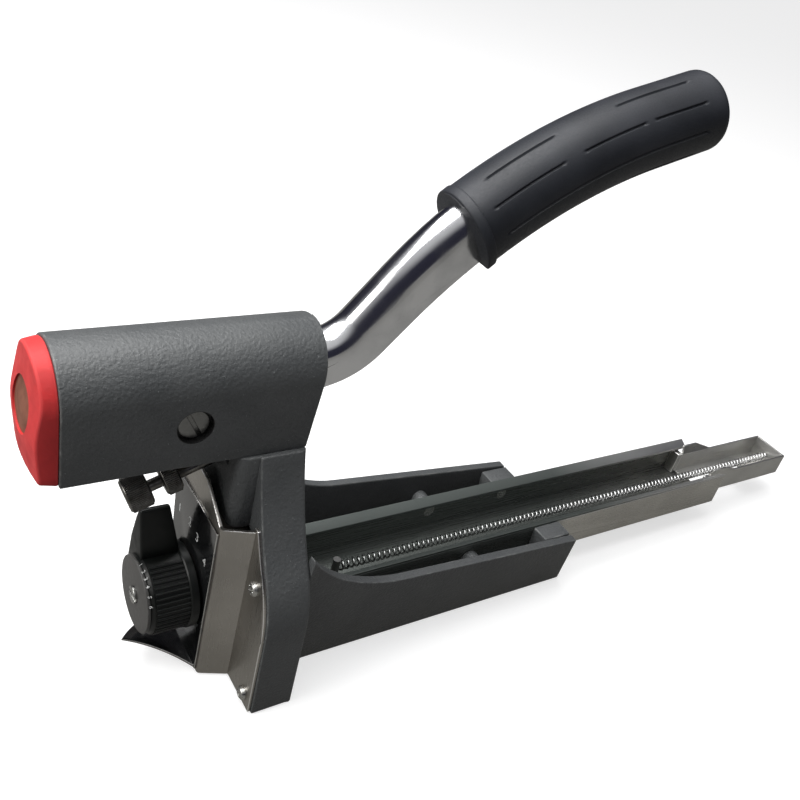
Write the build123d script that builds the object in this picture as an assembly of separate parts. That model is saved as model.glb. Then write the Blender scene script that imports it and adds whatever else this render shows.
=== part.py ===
from build123d import *
from math import cos, degrees, hypot, pi, radians, sin, sqrt
import os

# Hand carton stapler with lever drive, swinging clinchers and an open magazine.
# Millimetres, +Z up, +X towards the magazine's tail, the mid-plane at y = 0.
# The origin is on the foot plane, on the line where the driver pushes the staple.

# Clearances
pin_gap = 0.05        # round pin in its hole
seat_gap = 0.1        # piece in the recess that holds it
run_gap = 0.4         # faces that slide past each other
over = 1.0            # how far a cut runs past the face it opens

# Staple and magazine
crown_width = 35.0
crown_play = 1.0
channel_sheet = 1.5
channel_bottom = 15.7
channel_height = 22.9
channel_length = 322.0
lip_width = 5.0
lip_drop = 3.2

# Leg casting
leg_front = -12.0
leg_depth = 20.2
leg_half = 50.0
leg_height = 123.4
neck_half = 21.8
waist_share = 0.4     # how far the waist stands out from neck to flare
waist_height = 100.0
flare_inset = 9.5     # flare inside the foot, each side
flare_height = 77.5
shoulder_inset = 2.4  # shoulder inside the foot, each side
shoulder_height = 62.5
side_height = 46.0
leg_wall = 3.5
leg_edge_radius = 2.0
pocket_depth = 6.8
pocket_top = 86.0
neck_slot_play = 1.5
boss_depth = 9.0
boss_height = 35.9
boss_half = 21.0
boss_radius = 5.0
web_drop = 8.9        # web below the leg's top
web_thick = 5.5

# Head casting
head_front = -88.0
head_rear = 8.7
head_rear_slant = 0.1
head_half = 19.6
head_arc_height = 29.5
head_wall = 3.2
head_floor = 3.0
head_floor_length = 34.0
pad_thick = 5.0
head_bolt_radius = 1.5
head_bolt_head = 2.3
head_bolt_rise = 2.5
head_bolt_grip = 10.0
head_bolt_spread = 9.0

# Red cap on the head's front
cap_depth = 7.0
cap_inset = 0.7
cap_draft = 8.0
cap_plug_depth = 5.0
cap_plug_wall = 2.0
cap_dish_radius = 10.5
cap_dish_depth = 0.8

# Lever and its pivot
pivot_x = -40.0
pivot_rise = 18.3     # pivot above the leg's top
pivot_radius = 5.0
pivot_head_radius = 6.0
pivot_head_depth = 1.8
pivot_recess = 0.2
screw_slot_width = 1.6
screw_slot_depth = 1.0
bush_radius = 8.0
handle_swing = 44.0
lever_half = 10.0
lever_skirt = 10.5
lever_sheet = 2.5
lever_front_run = 20.0
lever_angle = 13.5
crank_distance = 70.2
crank_bend = 30.0
arm_angle = 49.3
arm_run = 26.3
arm_bend = 247.0

# Rubber grip
collar_angle = 39.2
grip_angle = 17.2
grip_straight = 34.5
grip_cover = 12.0
grip_radius = 17.7
collar_radius = 19.4
collar_length = 6.0
grip_end_round = 4.0
groove_radius = 1.1
groove_start = 3.0
groove_gap = 7.0
groove_count = 9

# Driver
stroke = 32.4
blade_thick = 1.2
blade_play = 0.3
blade_rest = 32.6
blade_shoulder = 80.0
blade_top = 92.0
blade_neck_half = 10.0
drive_pin_radius = 3.0
drive_slot_play = 0.5
slot_steps = 6
carrier_eye_radius = 5.0
carrier_half = 4.5
carrier_depth = 10.0
carrier_wide_half = 10.5
carrier_top_gap = 1.4
carrier_bottom = 74.0
rivet_radius = 2.0
rivet_spread = 6.0
hanger_top = 98.0
hanger_half = 7.0

# Clinchers, their cam plate and the blade's guide
claw_pivot_y = 18.0
claw_pivot_z = 30.0
claw_pin_radius = 4.0
claw_eye_radius = 8.0
claw_reach = 35.0
claw_tip_angle = -54.0
claw_root_angle = 40.0
claw_elbow_out = (17.5, -9.0)
claw_elbow_in = (13.0, -13.0)
claw_swing = 55.0
claw_thick = 3.2
claw_arm = 18.0
claw_arm_angle = 117.5
claw_arm_radius = 5.5
claw_stud_radius = 3.0
claw_tip_size = 2.8
claw_tip_depth = 9.4
plate_thick = 2.5
plate_margin = 2.4
plate_steps = 5
plate_cut = 12.0
guide_half = 30.0
guide_bottom = 10.0
guide_top = 50.0
guide_thick = 4.0

# Front cover with its screws
cover_sheet = 1.5
cover_depth = 14.0
cover_top_half = 24.2
cover_foot_half = 20.6
cover_splay = 6.0
cover_bottom = 0.5
cover_top = 91.3
cover_bend = 2.5
flange_top = 93.0
flange_inset = 1.0
tongue_top = 103.0
tongue_half = 5.0
upper_screw_z = 66.5
lower_screw_inset = 7.5
lower_screw_z = 7.0
cover_screw_radius = 2.0
cover_screw_head = 3.4
cover_screw_rise = 2.2
cover_screw_length = 6.0
screw_boss_radius = 3.6
screw_boss_gap = 1.0

# Scale plate with its pointer
plate_sheet = 1.0
scale_top_half = 22.8
scale_foot_half = 19.0
scale_top = 88.0
scale_bottom = 2.0
pointer_length = 32.9
pointer_rise = 25.0
pointer_tip_offset = -3.2
pointer_near_bow = (17.2, -7.4)
pointer_far_bow = (23.5, 6.1)

# Depth knob
knob_height = 40.0
knob_radius = 19.0
knob_length = 21.0
knob_stand_off = 1.0
skirt_radius = 20.5
skirt_length = 4.0
flute_radius = 1.2
flute_count = 20
flute_spread = 250.0
lobe_reach = 30.5
lobe_radius = 11.0
lobe_length = 14.0
lobe_inset = 1.0
face_radius = 17.5
face_thick = 1.5
spindle_radius = 4.0
spindle_tail = 9.0
knob_screw_head = 4.0
knob_screw_rise = 1.2
knob_screw_radius = 1.5
knob_screw_length = 12.0
cam_radius = 12.0
cam_offset = 4.5
cam_thick = 7.0

# Stop screw under the head, with its lock nut
stop_tilt = 20.0
stop_head_x = -53.0
stop_head_drop = 24.9
stop_head_radius = 7.5
stop_head_length = 10.0
stop_shank_radius = 2.5
stop_shank_length = 33.0
nut_radius = 7.0
nut_length = 7.0
nut_place = 14.0
knurl_chamfer = 0.8

# Wings beside the magazine
wing_foot_half = 29.5
wing_lean = 0.1875
wing_thick = 5.0
wing_length = 175.0
wing_rear_run = 7.0
wing_front_height = 82.0
wing_scoop_x = 30.7
wing_scoop_z = 60.4
wing_mid_x = 64.0
wing_mid_z = 47.8
wing_rear_z = 37.4
lug_length = 18.0
lug_bottom = 19.0
wing_boss_x = 122.0
wing_boss_z = 28.0
wing_boss_radius = 5.0
wing_flange_depth = 5.0
wing_flange_height = 60.0
bolt_radius = 2.5
bolt_head_radius = 3.4
bolt_head_length = 3.0
bolt_grip = 9.0
lower_bolt_y = 24.8
lower_bolt_z = 20.0
upper_bolt_y = 29.0
upper_bolt_z = 54.0
channel_screw_radius = 2.0
channel_screw_head = 3.4
channel_screw_grip = 6.0

# Pusher
slide_front = 321.0
slide_length = 87.0
slide_half = 12.4
slide_sheet = 1.2
slide_wall_height = 14.7
slide_slot_half = 4.5
slide_slot_length = 60.0
pusher_head_depth = 4.0
pusher_head_height = 15.2
ear_start = 4.5
ear_length = 28.0
ear_slope = 18.0
ear_height = 20.5
ear_spread = 1.8

# Springs
wire_sides = 4
pusher_spring_radius = 2.05
pusher_wire = 0.9
pusher_turns = 30
pusher_spring_rise = 6.6
post_x = 53.0
post_radius = 2.0
post_height = 12.0
return_spring_radius = 3.6
return_wire = 1.2
return_turns = 8
anchor_x = -78.0
anchor_radius = 2.5
lug_pin_radius = 2.5
lug_pin_rise = 19.0
lug_pin_place = 4.0
return_spring_rise = 16.0

# Sizes that follow from the driving dimensions
shoulder_half = leg_half - shoulder_inset
flare_half = leg_half - flare_inset
waist_half = neck_half + waist_share * (flare_half - neck_half)
boss_bottom = leg_height - boss_height
web_top = leg_height - web_drop
carrier_wide_top = leg_height - carrier_top_gap
pivot_height = leg_height + pivot_rise
stop_head_z = leg_height - stop_head_drop
stud_reach = claw_pivot_y + claw_arm * cos(radians(claw_arm_angle - claw_swing))
plate_rim = claw_stud_radius + run_gap + plate_margin
plate_half = stud_reach + plate_rim
upper_screw_y = plate_half + screw_boss_gap + screw_boss_radius
lower_screw_y = leg_half - lower_screw_inset
channel_half = crown_width / 2 + crown_play + channel_sheet
channel_inner = channel_half - channel_sheet
channel_floor = channel_bottom + channel_sheet
channel_top = channel_bottom + channel_height
leg_rear = leg_front + leg_depth
channel_rear = leg_rear + channel_length
boss_front = leg_front - boss_depth
pocket_back = leg_front + pocket_depth
slot_half = lever_half + neck_slot_play
slot_floor = pocket_top - over
head_centre = leg_height + head_arc_height
head_inner = head_half - head_wall
blade_half = crown_width / 2
blade_room = blade_thick / 2 + blade_play
cover_front = leg_front - cover_depth
plate_front = cover_front - plate_sheet
knob_back = plate_front - knob_stand_off
knob_front = knob_back - knob_length
carrier_back = carrier_depth / 2
claw_back = pocket_back - seat_gap * 2
claw_front = claw_back - claw_thick
plate_back = claw_front - run_gap
slide_floor = channel_floor + run_gap
slide_rear = slide_front + slide_length
spring_height = channel_floor + pusher_spring_rise


def prism_x(points, x0, x1):
    """Solid from an outline of (y, z) points, from x0 to x1."""
    face = make_face(Polyline(points, close=True))
    return extrude(Plane.YZ.offset(x0) * face, x1 - x0)


def prism_y(points, y0, y1):
    """Solid from an outline of (x, z) points, from y0 to y1."""
    face = make_face(Polyline(points, close=True))
    return extrude(Plane.XZ.offset(-y0) * face, y0 - y1)


def block(x0, x1, y0, y1, z0, z1):
    """Rectangular solid between two corners."""
    return Pos((x0 + x1) / 2, (y0 + y1) / 2, (z0 + z1) / 2) * Box(x1 - x0, y1 - y0, z1 - z0)


def rod(start, direction, radius, length):
    """Round bar from a start point along a direction."""
    plane = Plane(origin=start, z_dir=direction)
    return extrude(plane * Circle(radius), length)


def both_sides(shape):
    """A shape and its mirror image across the mid-plane."""
    return [shape, mirror(shape, about=Plane.XZ)]


def arch_face(half, bottom, centre):
    """Face with straight sides and a half-round top, in (y, z)."""
    edges = [
        Line((-half, bottom), (half, bottom)),
        Line((half, bottom), (half, centre)),
        ThreePointArc((half, centre), (0, centre + half), (-half, centre)),
        Line((-half, centre), (-half, bottom)),
    ]
    return make_face(edges)


def arch(half, bottom, centre, x0, x1):
    """Solid with the arch face as its section, along X."""
    return extrude(Plane.YZ.offset(x0) * arch_face(half, bottom, centre), x1 - x0)


def hull_face(first, first_radius, second, second_radius):
    """Face round two circles, with straight tangent sides."""
    circles = [Pos(*first) * Circle(first_radius), Pos(*second) * Circle(second_radius)]
    return make_hull(circles[0].edges() + circles[1].edges())


def slot_face(points, radius):
    """Face swept by a round cutter through a row of points."""
    face = hull_face(points[0], radius, points[1], radius)
    for first, second in zip(points[1:], points[2:]):
        face = face + hull_face(first, radius, second, radius)
    return face


def leg_face():
    """Front outline of the leg, in (y, z)."""
    half = [
        Line((0, 0), (leg_half, 0)),
        Line((leg_half, 0), (leg_half, side_height)),
        ThreePointArc((leg_half, side_height), (shoulder_half, shoulder_height), (flare_half, flare_height)),
        ThreePointArc((flare_half, flare_height), (waist_half, waist_height), (neck_half, leg_height)),
        Line((neck_half, leg_height), (0, leg_height)),
        Line((0, leg_height), (0, 0)),
    ]
    face = make_face(half)
    return face + mirror(face, about=Plane.YZ)


def save(name, shape):
    """Write one node, either one solid or a list of separate solids."""
    solids = []
    for item in shape if isinstance(shape, list) else [shape]:
        solids += list(item.solids())
    whole = solids[0] if len(solids) == 1 else Compound(children=solids)
    export_step(whole, os.path.join("parts", name + ".step"))


os.makedirs("parts", exist_ok=True)
cover_screws = [(upper_screw_y, upper_screw_z), (lower_screw_y, lower_screw_z)]
stop_axis = (cos(radians(stop_tilt)), 0, sin(radians(stop_tilt)))


def stop_point(along):
    """Point on the stop screw's axis, measured from the middle of its head."""
    return (stop_head_x + along * stop_axis[0], 0, stop_head_z + along * stop_axis[2])


# Leg: a wide foot with a front pocket for the clinchers and a neck split for the lever
leg = extrude(Plane.YZ.offset(leg_front) * leg_face(), leg_depth)
rear_rim = leg.edges().group_by(Axis.X)[-1]
sides = [e for e in rear_rim if over < e.center().Z < leg_height - over]
leg = fillet(sides, leg_edge_radius)
boss = block(boss_front, leg_front, -boss_half, boss_half, boss_bottom, leg_height)
boss = fillet(boss.edges().filter_by(Axis.Z).group_by(Axis.X)[0], boss_radius)
leg = leg + boss
pocket_face = offset(leg_face(), -leg_wall)
pocket = extrude(Plane.YZ.offset(leg_front - 1) * pocket_face, pocket_depth + over)
pocket_half = leg_half - leg_wall
pocket = pocket & block(leg_front - over, pocket_back, -leg_half, leg_half, 0, pocket_top)
pocket = pocket + block(leg_front - over, pocket_back, -pocket_half, pocket_half, -over, leg_wall + over)
for screw_y, screw_z in cover_screws:
    post = rod((leg_front - over, screw_y, screw_z), (1, 0, 0), screw_boss_radius, pocket_depth + over)
    tie = block(leg_front - over, pocket_back, screw_y, pocket_half + over, screw_z - screw_boss_radius,
                screw_z + screw_boss_radius)
    for piece in both_sides(post + tie):
        pocket = pocket - piece
leg = leg - pocket
leg = leg - block(boss_front + web_thick, leg_rear + over, -slot_half, slot_half, slot_floor,
                  leg_height + over)
leg = leg - block(boss_front - over, leg_rear + over, -slot_half, slot_half, web_top, leg_height + over)
leg = leg - block(pocket_back - over, -blade_room, -guide_half - seat_gap, guide_half + seat_gap,
                  guide_bottom - seat_gap, guide_top + seat_gap)
leg = leg - block(pocket_back - over, blade_room, -channel_inner, channel_inner, -over, pocket_top)
carrier_floor = carrier_bottom - stroke - run_gap
leg = leg - block(leg_front - over, carrier_back + run_gap, -slot_half, slot_half, carrier_floor, pocket_top)
leg = leg - block(0, leg_rear + over, -channel_inner, channel_inner, channel_floor, channel_top - lip_drop)
claw_tip_back = claw_front + claw_tip_depth
leg = leg - block(pocket_back - over, claw_tip_back + run_gap, -pocket_half, pocket_half, -over, guide_bottom)
for screw_y, screw_z in cover_screws:
    hole = rod((leg_front, screw_y, screw_z), (1, 0, 0), cover_screw_radius + pin_gap, cover_screw_length)
    for piece in both_sides(hole):
        leg = leg - piece
for bolt_y, bolt_z in [(lower_bolt_y, lower_bolt_z), (upper_bolt_y, upper_bolt_z)]:
    hole = rod((leg_rear, bolt_y, bolt_z), (-1, 0, 0), bolt_radius + pin_gap, bolt_grip)
    for piece in both_sides(hole):
        leg = leg - piece
head_bolt_y = (slot_half + head_inner) / 2
head_bolts_x = [(leg_front + leg_rear) / 2 + s * head_bolt_spread / 2 for s in (1, -1)]
for bolt_x in head_bolts_x:
    hole = rod((bolt_x, head_bolt_y, leg_height), (0, 0, -1), head_bolt_radius + pin_gap, head_bolt_grip)
    for piece in both_sides(hole):
        leg = leg - piece
leg = leg - rod(stop_point(0), stop_axis, stop_shank_radius + pin_gap, stop_shank_length + stop_head_length)
save("leg_housing", leg)

# Guide plate in front of the blade, which carries the clinchers' pins
guide = block(-blade_room - guide_thick, -blade_room, -guide_half, guide_half, guide_bottom, guide_top)
claw_pins = []
for side in (1, -1):
    start = (-blade_room, side * claw_pivot_y, claw_pivot_z)
    guide = guide - rod(start, (-1, 0, 0), claw_pin_radius + pin_gap, guide_thick)
    claw_pins.append(rod(start, (-1, 0, 0), claw_pin_radius, -blade_room - claw_front))
save("guide_plate", guide)
save("clincher_pins", claw_pins)

# Head: inverted U over the lever, open at the rear, with pads that bolt to the leg
head_top = head_centre + head_half
head_tail = head_rear + head_rear_slant * (head_top - leg_height)
head = arch(head_half, leg_height, head_centre, head_front, head_tail)
head = head - prism_y([(head_rear, leg_height), (head_tail + over, leg_height), (head_tail + over, head_top),
                       (head_tail, head_top)], -head_half, head_half)
hollow = arch(head_inner, leg_height - over, head_centre, head_front - over, head_tail + over)
hollow = hollow - block(head_front, head_front + head_floor_length, -head_half, head_half,
                        leg_height - over, leg_height + head_floor)
pad = block(leg_front, leg_rear, slot_half, head_half, leg_height - over, leg_height + pad_thick)
for piece in both_sides(pad):
    hollow = hollow - piece
head = head - hollow
head = head - rod((pivot_x, -head_half, pivot_height), (0, 1, 0), pivot_radius + pin_gap, 2 * head_half)
recess = rod((pivot_x, -head_half, pivot_height), (0, 1, 0), pivot_head_radius + seat_gap,
             pivot_recess + pivot_head_depth)
bolts = []
for piece in both_sides(recess):
    head = head - piece
for bolt_x in head_bolts_x:
    top = (bolt_x, head_bolt_y, leg_height + pad_thick)
    bolt = rod(top, (0, 0, -1), head_bolt_radius, pad_thick + head_bolt_grip - over)
    bolt = bolt + rod(top, (0, 0, 1), head_bolt_head, head_bolt_rise)
    hole = rod(top, (0, 0, -1), head_bolt_radius + pin_gap, pad_thick)
    for piece in both_sides(hole):
        head = head - piece
    bolts += both_sides(bolt)
save("head_housing", head)
save("head_bolts", bolts)

# Cap: drafted plastic plug with a shallow round dish on its face
cap_face = arch_face(head_half - cap_inset, leg_height + cap_inset, head_centre)
cap = extrude(Plane.YZ.offset(head_front) * cap_face, -cap_depth, taper=cap_draft)
plug_bottom = leg_height + head_floor + seat_gap
plug = arch(head_inner - seat_gap, plug_bottom, head_centre, head_front, head_front + cap_plug_depth)
plug = plug - arch(head_inner - seat_gap - cap_plug_wall, plug_bottom + cap_plug_wall, head_centre,
                   head_front, head_front + cap_plug_depth + over)
cap = cap + plug
cap_middle = leg_height + (head_arc_height + head_half) / 2
cap = cap - rod((head_front - cap_depth, 0, cap_middle), (1, 0, 0), cap_dish_radius, cap_dish_depth)
save("end_cap", cap)

# Front cover: pressed box with splayed walls, side flanges and a pointed tongue
cover_wall = cover_sheet * hypot(1, cover_splay / cover_depth)


def cover_form(front, back, low, high, inset):
    """Solid between two planes that narrows to the foot and widens to the leg as the cover does."""
    faces = []
    for x in (front, back):
        half = [cover_foot_half - inset + cover_splay * (x - cover_front) / cover_depth
                + (cover_top_half - cover_foot_half) * (z - cover_bottom) / (cover_top - cover_bottom)
                for z in (low, high)]
        outline = Polyline((-half[0], low), (half[0], low), (half[1], high), (-half[1], high), close=True)
        faces.append(Plane.YZ.offset(x) * make_face(outline))
    return loft(faces, ruled=True)


def long_front_edges(solid):
    """The two upright edges of a solid's front face."""
    return solid.edges().group_by(Axis.X)[0].sort_by(SortBy.LENGTH)[-2:]


box = cover_form(cover_front, leg_front, cover_bottom, cover_top, 0)
box = fillet(long_front_edges(box), cover_bend)
inside = cover_form(cover_front + cover_sheet, leg_front + over, cover_bottom - over, cover_top + over,
                    cover_wall)
inside = fillet(long_front_edges(inside), cover_bend - cover_sheet)
flange = extrude(Plane.YZ.offset(leg_front - cover_sheet) * offset(leg_face(), -flange_inset), cover_sheet)
flange = flange & block(leg_front - cover_sheet, leg_front, -leg_half, leg_half, cover_bottom, flange_top)
flange = flange - cover_form(leg_front - 2 * cover_sheet, leg_front + over, -over, leg_height, cover_wall)
tongue = prism_x([(-cover_top_half + cover_bend, cover_top), (cover_top_half - cover_bend, cover_top),
                  (tongue_half, tongue_top), (-tongue_half, tongue_top)],
                 cover_front, cover_front + cover_sheet)
cover = box - inside + flange + tongue
cover = cover - rod((cover_front, 0, knob_height), (1, 0, 0), spindle_radius + pin_gap, cover_sheet)
screws = []
for screw_y, screw_z in cover_screws:
    seat = (leg_front - cover_sheet, screw_y, screw_z)
    hole = rod(seat, (1, 0, 0), cover_screw_radius + pin_gap, cover_sheet)
    for piece in both_sides(hole):
        cover = cover - piece
    screw = rod(seat, (-1, 0, 0), cover_screw_head, cover_screw_rise)
    screw = chamfer(screw.edges().group_by(Axis.X)[0], cover_screw_rise / 2)
    screw = screw + rod(seat, (1, 0, 0), cover_screw_radius, cover_sheet + cover_screw_length - over)
    screws += both_sides(screw)
save("front_cover", cover)
save("cover_screws", screws)

# Scale plate: flat sheet, bent forward and up at its foot into a pointed centre mark
plate = prism_x([(-scale_foot_half, scale_bottom), (scale_foot_half, scale_bottom),
                 (scale_top_half, scale_top), (-scale_top_half, scale_top)], plate_front, cover_front)
plate = plate - rod((plate_front, 0, knob_height), (1, 0, 0), spindle_radius + over, plate_sheet)
ahead = (-cos(radians(pointer_rise)), 0, sin(radians(pointer_rise)))
below = (-sin(radians(pointer_rise)), 0, -cos(radians(pointer_rise)))
pointer_plane = Plane(origin=(cover_front, 0, scale_bottom + plate_sheet), x_dir=ahead, z_dir=below)
pointer_tip = (pointer_length, pointer_tip_offset)
pointer_edges = [
    Line((0, scale_foot_half), (0, -scale_foot_half)),
    ThreePointArc((0, -scale_foot_half), pointer_near_bow, pointer_tip),
    ThreePointArc(pointer_tip, pointer_far_bow, (0, scale_foot_half)),
]
pointer = extrude(pointer_plane * make_face(pointer_edges), plate_sheet)
pointer = pointer - block(cover_front, leg_front, -scale_foot_half - over, scale_foot_half + over,
                          -plate_sheet, scale_top)
save("scale_plate", plate + pointer)

# Depth knob: fluted barrel with a smooth pointer lobe, on a spindle with a stop cam
knob = rod((knob_front, 0, knob_height), (1, 0, 0), knob_radius, knob_length)
lobe_face = hull_face((0, knob_height), knob_radius, (0, knob_height + lobe_reach), lobe_radius)
knob = knob + extrude(Plane.YZ.offset(knob_front + lobe_inset) * lobe_face, lobe_length)
for step in range(flute_count):
    turn = radians(-90 + flute_spread * (step / (flute_count - 1) - 0.5))
    start = (knob_front - over, knob_radius * cos(turn), knob_height + knob_radius * sin(turn))
    knob = knob - rod(start, (1, 0, 0), flute_radius, knob_length + over)
knob = knob + rod((knob_back - skirt_length, 0, knob_height), (1, 0, 0), skirt_radius, skirt_length)
knob = knob - rod((knob_front - over, 0, knob_height), (1, 0, 0), spindle_radius, knob_length + 2 * over)
save("depth_knob", knob)
face = rod((knob_front - face_thick, 0, knob_height), (1, 0, 0), face_radius, face_thick)
face = face - rod((knob_front - face_thick, 0, knob_height), (1, 0, 0), knob_screw_radius + pin_gap,
                  face_thick)
save("knob_face", face)
screw = rod((knob_front - face_thick, 0, knob_height), (-1, 0, 0), knob_screw_head, knob_screw_rise)
screw = screw + rod((knob_front - face_thick, 0, knob_height), (1, 0, 0), knob_screw_radius,
                    knob_screw_length)
head_end = knob_front - face_thick - knob_screw_rise
screw = screw - block(head_end, head_end + knob_screw_rise / 2, -knob_screw_head, knob_screw_head,
                      knob_height - screw_slot_width / 2, knob_height + screw_slot_width / 2)
save("knob_screw", screw)
spindle_end = leg_front - cover_depth + spindle_tail
spindle = rod((knob_front, 0, knob_height), (1, 0, 0), spindle_radius, spindle_end - knob_front)
spindle = spindle - rod((knob_front, 0, knob_height), (1, 0, 0), knob_screw_radius + pin_gap,
                        knob_screw_length)
save("knob_spindle", spindle)
cam_x = spindle_end - cam_thick
cam = rod((cam_x, 0, knob_height + cam_offset), (1, 0, 0), cam_radius, cam_thick)
cam = cam - rod((cam_x, 0, knob_height), (1, 0, 0), spindle_radius, cam_thick)
save("stop_cam", cam)

# Stop screw and lock nut, tilted up into the neck's web
screw = rod(stop_point(-stop_head_length / 2), stop_axis, stop_head_radius, stop_head_length)
screw = chamfer(screw.edges().filter_by(GeomType.CIRCLE), knurl_chamfer)
screw = screw + rod(stop_point(stop_head_length / 2), stop_axis, stop_shank_radius, stop_shank_length)
save("stop_screw", screw)
nut = rod(stop_point(nut_place - nut_length / 2), stop_axis, nut_radius, nut_length)
nut = chamfer(nut.edges().filter_by(GeomType.CIRCLE), knurl_chamfer)
nut = nut - rod(stop_point(0), stop_axis, stop_shank_radius + pin_gap, stop_shank_length)
save("lock_nut", nut)

# Lever: one pressed U section swept along the cranked line from the pivot to the grip
lever_u = (cos(radians(lever_angle)), sin(radians(lever_angle)))
lever_n = (-lever_u[1], lever_u[0])
lever_start = (pivot_x - lever_front_run * lever_u[0], pivot_height - lever_front_run * lever_u[1])
crank_turn = arm_angle - lever_angle
crank_set_back = crank_bend * sin(radians(crank_turn / 2)) / cos(radians(crank_turn / 2))
front_run = lever_front_run + crank_distance - crank_set_back
crank_start = (lever_start[0] + front_run * lever_u[0], lever_start[1] + front_run * lever_u[1])
front_line = Line(lever_start, crank_start)
crank_arc = JernArc(crank_start, lever_u, crank_bend, crank_turn)
arm_u = (cos(radians(arm_angle)), sin(radians(arm_angle)))
arm_start = crank_arc @ 1
arm_end = arm_start + Vector(*arm_u) * (arm_run - crank_set_back)
arm_line = Line(arm_start, arm_end)
arm_arc = JernArc(arm_end, arm_u, arm_bend, collar_angle - arm_angle)
collar_place = arm_arc @ 1
collar_u = Vector(cos(radians(collar_angle)), sin(radians(collar_angle)))
grip_arc = JernArc(collar_place, collar_u, arm_bend, grip_angle - collar_angle)
grip_u = Vector(cos(radians(grip_angle)), sin(radians(grip_angle)))
grip_start = grip_arc @ 1
grip_line = Line(grip_start, grip_start + grip_u * grip_straight)
tang_line = Line(grip_start, grip_start + grip_u * (grip_straight - grip_cover))
lever_path = Plane.XZ * Wire([front_line, crank_arc, arm_line, arm_arc, grip_arc, tang_line])
lever_plane = Plane(origin=(lever_start[0], 0, lever_start[1]), x_dir=(0, 1, 0),
                    z_dir=(lever_u[0], 0, lever_u[1]))
lever_inner = lever_half - lever_sheet
u_face = arch_face(lever_half, -lever_skirt, 0) - arch_face(lever_inner, -lever_skirt - over, 0)
lever = sweep(lever_plane * u_face, path=lever_path)
lever = lever - rod((pivot_x, -lever_half, pivot_height), (0, 1, 0), bush_radius + pin_gap, 2 * lever_half)


def pin_in_lever(part):
    """Place of the drive pin in the resting lever when the handle has made part of its swing."""
    swing = radians(handle_swing * part)
    across = -pivot_x
    up = drive_pin_height - pivot_height - stroke * part
    return (pivot_x + across * cos(swing) - up * sin(swing),
            pivot_height + across * sin(swing) + up * cos(swing))


drive_pin_height = pivot_height - pivot_x * lever_u[1] / lever_u[0]
slot_points = [pin_in_lever(step / slot_steps) for step in range(slot_steps + 1)]
drive_slot = extrude(Plane.XZ.offset(lever_half) * slot_face(slot_points, drive_pin_radius + drive_slot_play),
                     -2 * lever_half)
lever = lever - drive_slot
lug_foot = bush_radius + seat_gap
lug_base = (pivot_x + lug_pin_place * lever_u[0] + lug_foot * lever_n[0], 0,
            pivot_height + lug_pin_place * lever_u[1] + lug_foot * lever_n[1])
lug_pin = rod(lug_base, (lever_n[0], 0, lever_n[1]), lug_pin_radius, lug_pin_rise - lug_foot)
lever = lever - rod(lug_base, (lever_n[0], 0, lever_n[1]), lug_pin_radius + pin_gap, lug_pin_rise)
save("lever", lever)
save("spring_pin", lug_pin)

# Bush in the lever, and the slotted pivot pin with its sleeve nut
bush_half = head_inner - run_gap / 2
bush = rod((pivot_x, -bush_half, pivot_height), (0, 1, 0), bush_radius, 2 * bush_half)
bush = bush - rod((pivot_x, -bush_half, pivot_height), (0, 1, 0), pivot_radius + pin_gap, 2 * bush_half)
save("pivot_bush", bush)
pin_face = -head_half + pivot_recess
pivot_reach = head_inner - head_wall / 2
pin = rod((pivot_x, pin_face, pivot_height), (0, 1, 0), pivot_head_radius, pivot_head_depth)
pin = pin + rod((pivot_x, pin_face, pivot_height), (0, 1, 0), pivot_radius, -pin_face + pivot_reach)
pin = pin - block(pivot_x - pivot_head_radius, pivot_x + pivot_head_radius,
                  pin_face, pin_face + screw_slot_depth,
                  pivot_height - screw_slot_width / 2, pivot_height + screw_slot_width / 2)
save("pivot_pin", pin)
nut = rod((pivot_x, -pin_face, pivot_height), (0, -1, 0), pivot_head_radius, pivot_head_depth)
nut = nut + rod((pivot_x, -pin_face, pivot_height), (0, -1, 0), pivot_radius, -pin_face - pivot_reach)
save("pivot_nut", nut)

# Grip: moulded sleeve with a flat-bottomed collar, broken grooves along its bend and a rounded end
grip_path = Plane.XZ * Wire([grip_arc, grip_line])
grip_plane = Plane(origin=(collar_place.X, 0, collar_place.Y), x_dir=(0, 1, 0),
                   z_dir=(collar_u.X, 0, collar_u.Y))
grip = sweep(grip_plane * Circle(grip_radius), path=grip_path)
end_edges = grip.edges().filter_by(GeomType.CIRCLE).sort_by(Axis.X)
grip = fillet(end_edges[-1], grip_end_round)
grip = grip + extrude(grip_plane * arch_face(collar_radius, -grip_radius, 0), collar_length)
bore_path = Plane.XZ * Wire([grip_arc, tang_line])
bore = sweep(grip_plane * arch_face(lever_half + seat_gap, -lever_skirt - seat_gap, 0), path=bore_path)
grip = grip - bore
bend_middle = collar_place + Vector(collar_u.Y, -collar_u.X) * arm_bend
bend_axis = Axis((bend_middle.X, 0, bend_middle.Y), (0, 1, 0))
first_turn = degrees((collar_length + groove_start) / arm_bend)
gap_turn = degrees(groove_gap / arm_bend)
groove_turn = (collar_angle - grip_angle - first_turn - gap_turn) / 2
for row in range(groove_count):
    around = 2 * pi * (row + 0.5) / groove_count
    spot = grip_plane * Pos(grip_radius * cos(around), grip_radius * sin(around), 0) * Circle(groove_radius)
    for turn in (first_turn, first_turn + groove_turn + gap_turn):
        grip = grip - revolve(spot.rotate(bend_axis, turn), bend_axis, groove_turn)
save("grip", grip)

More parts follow.
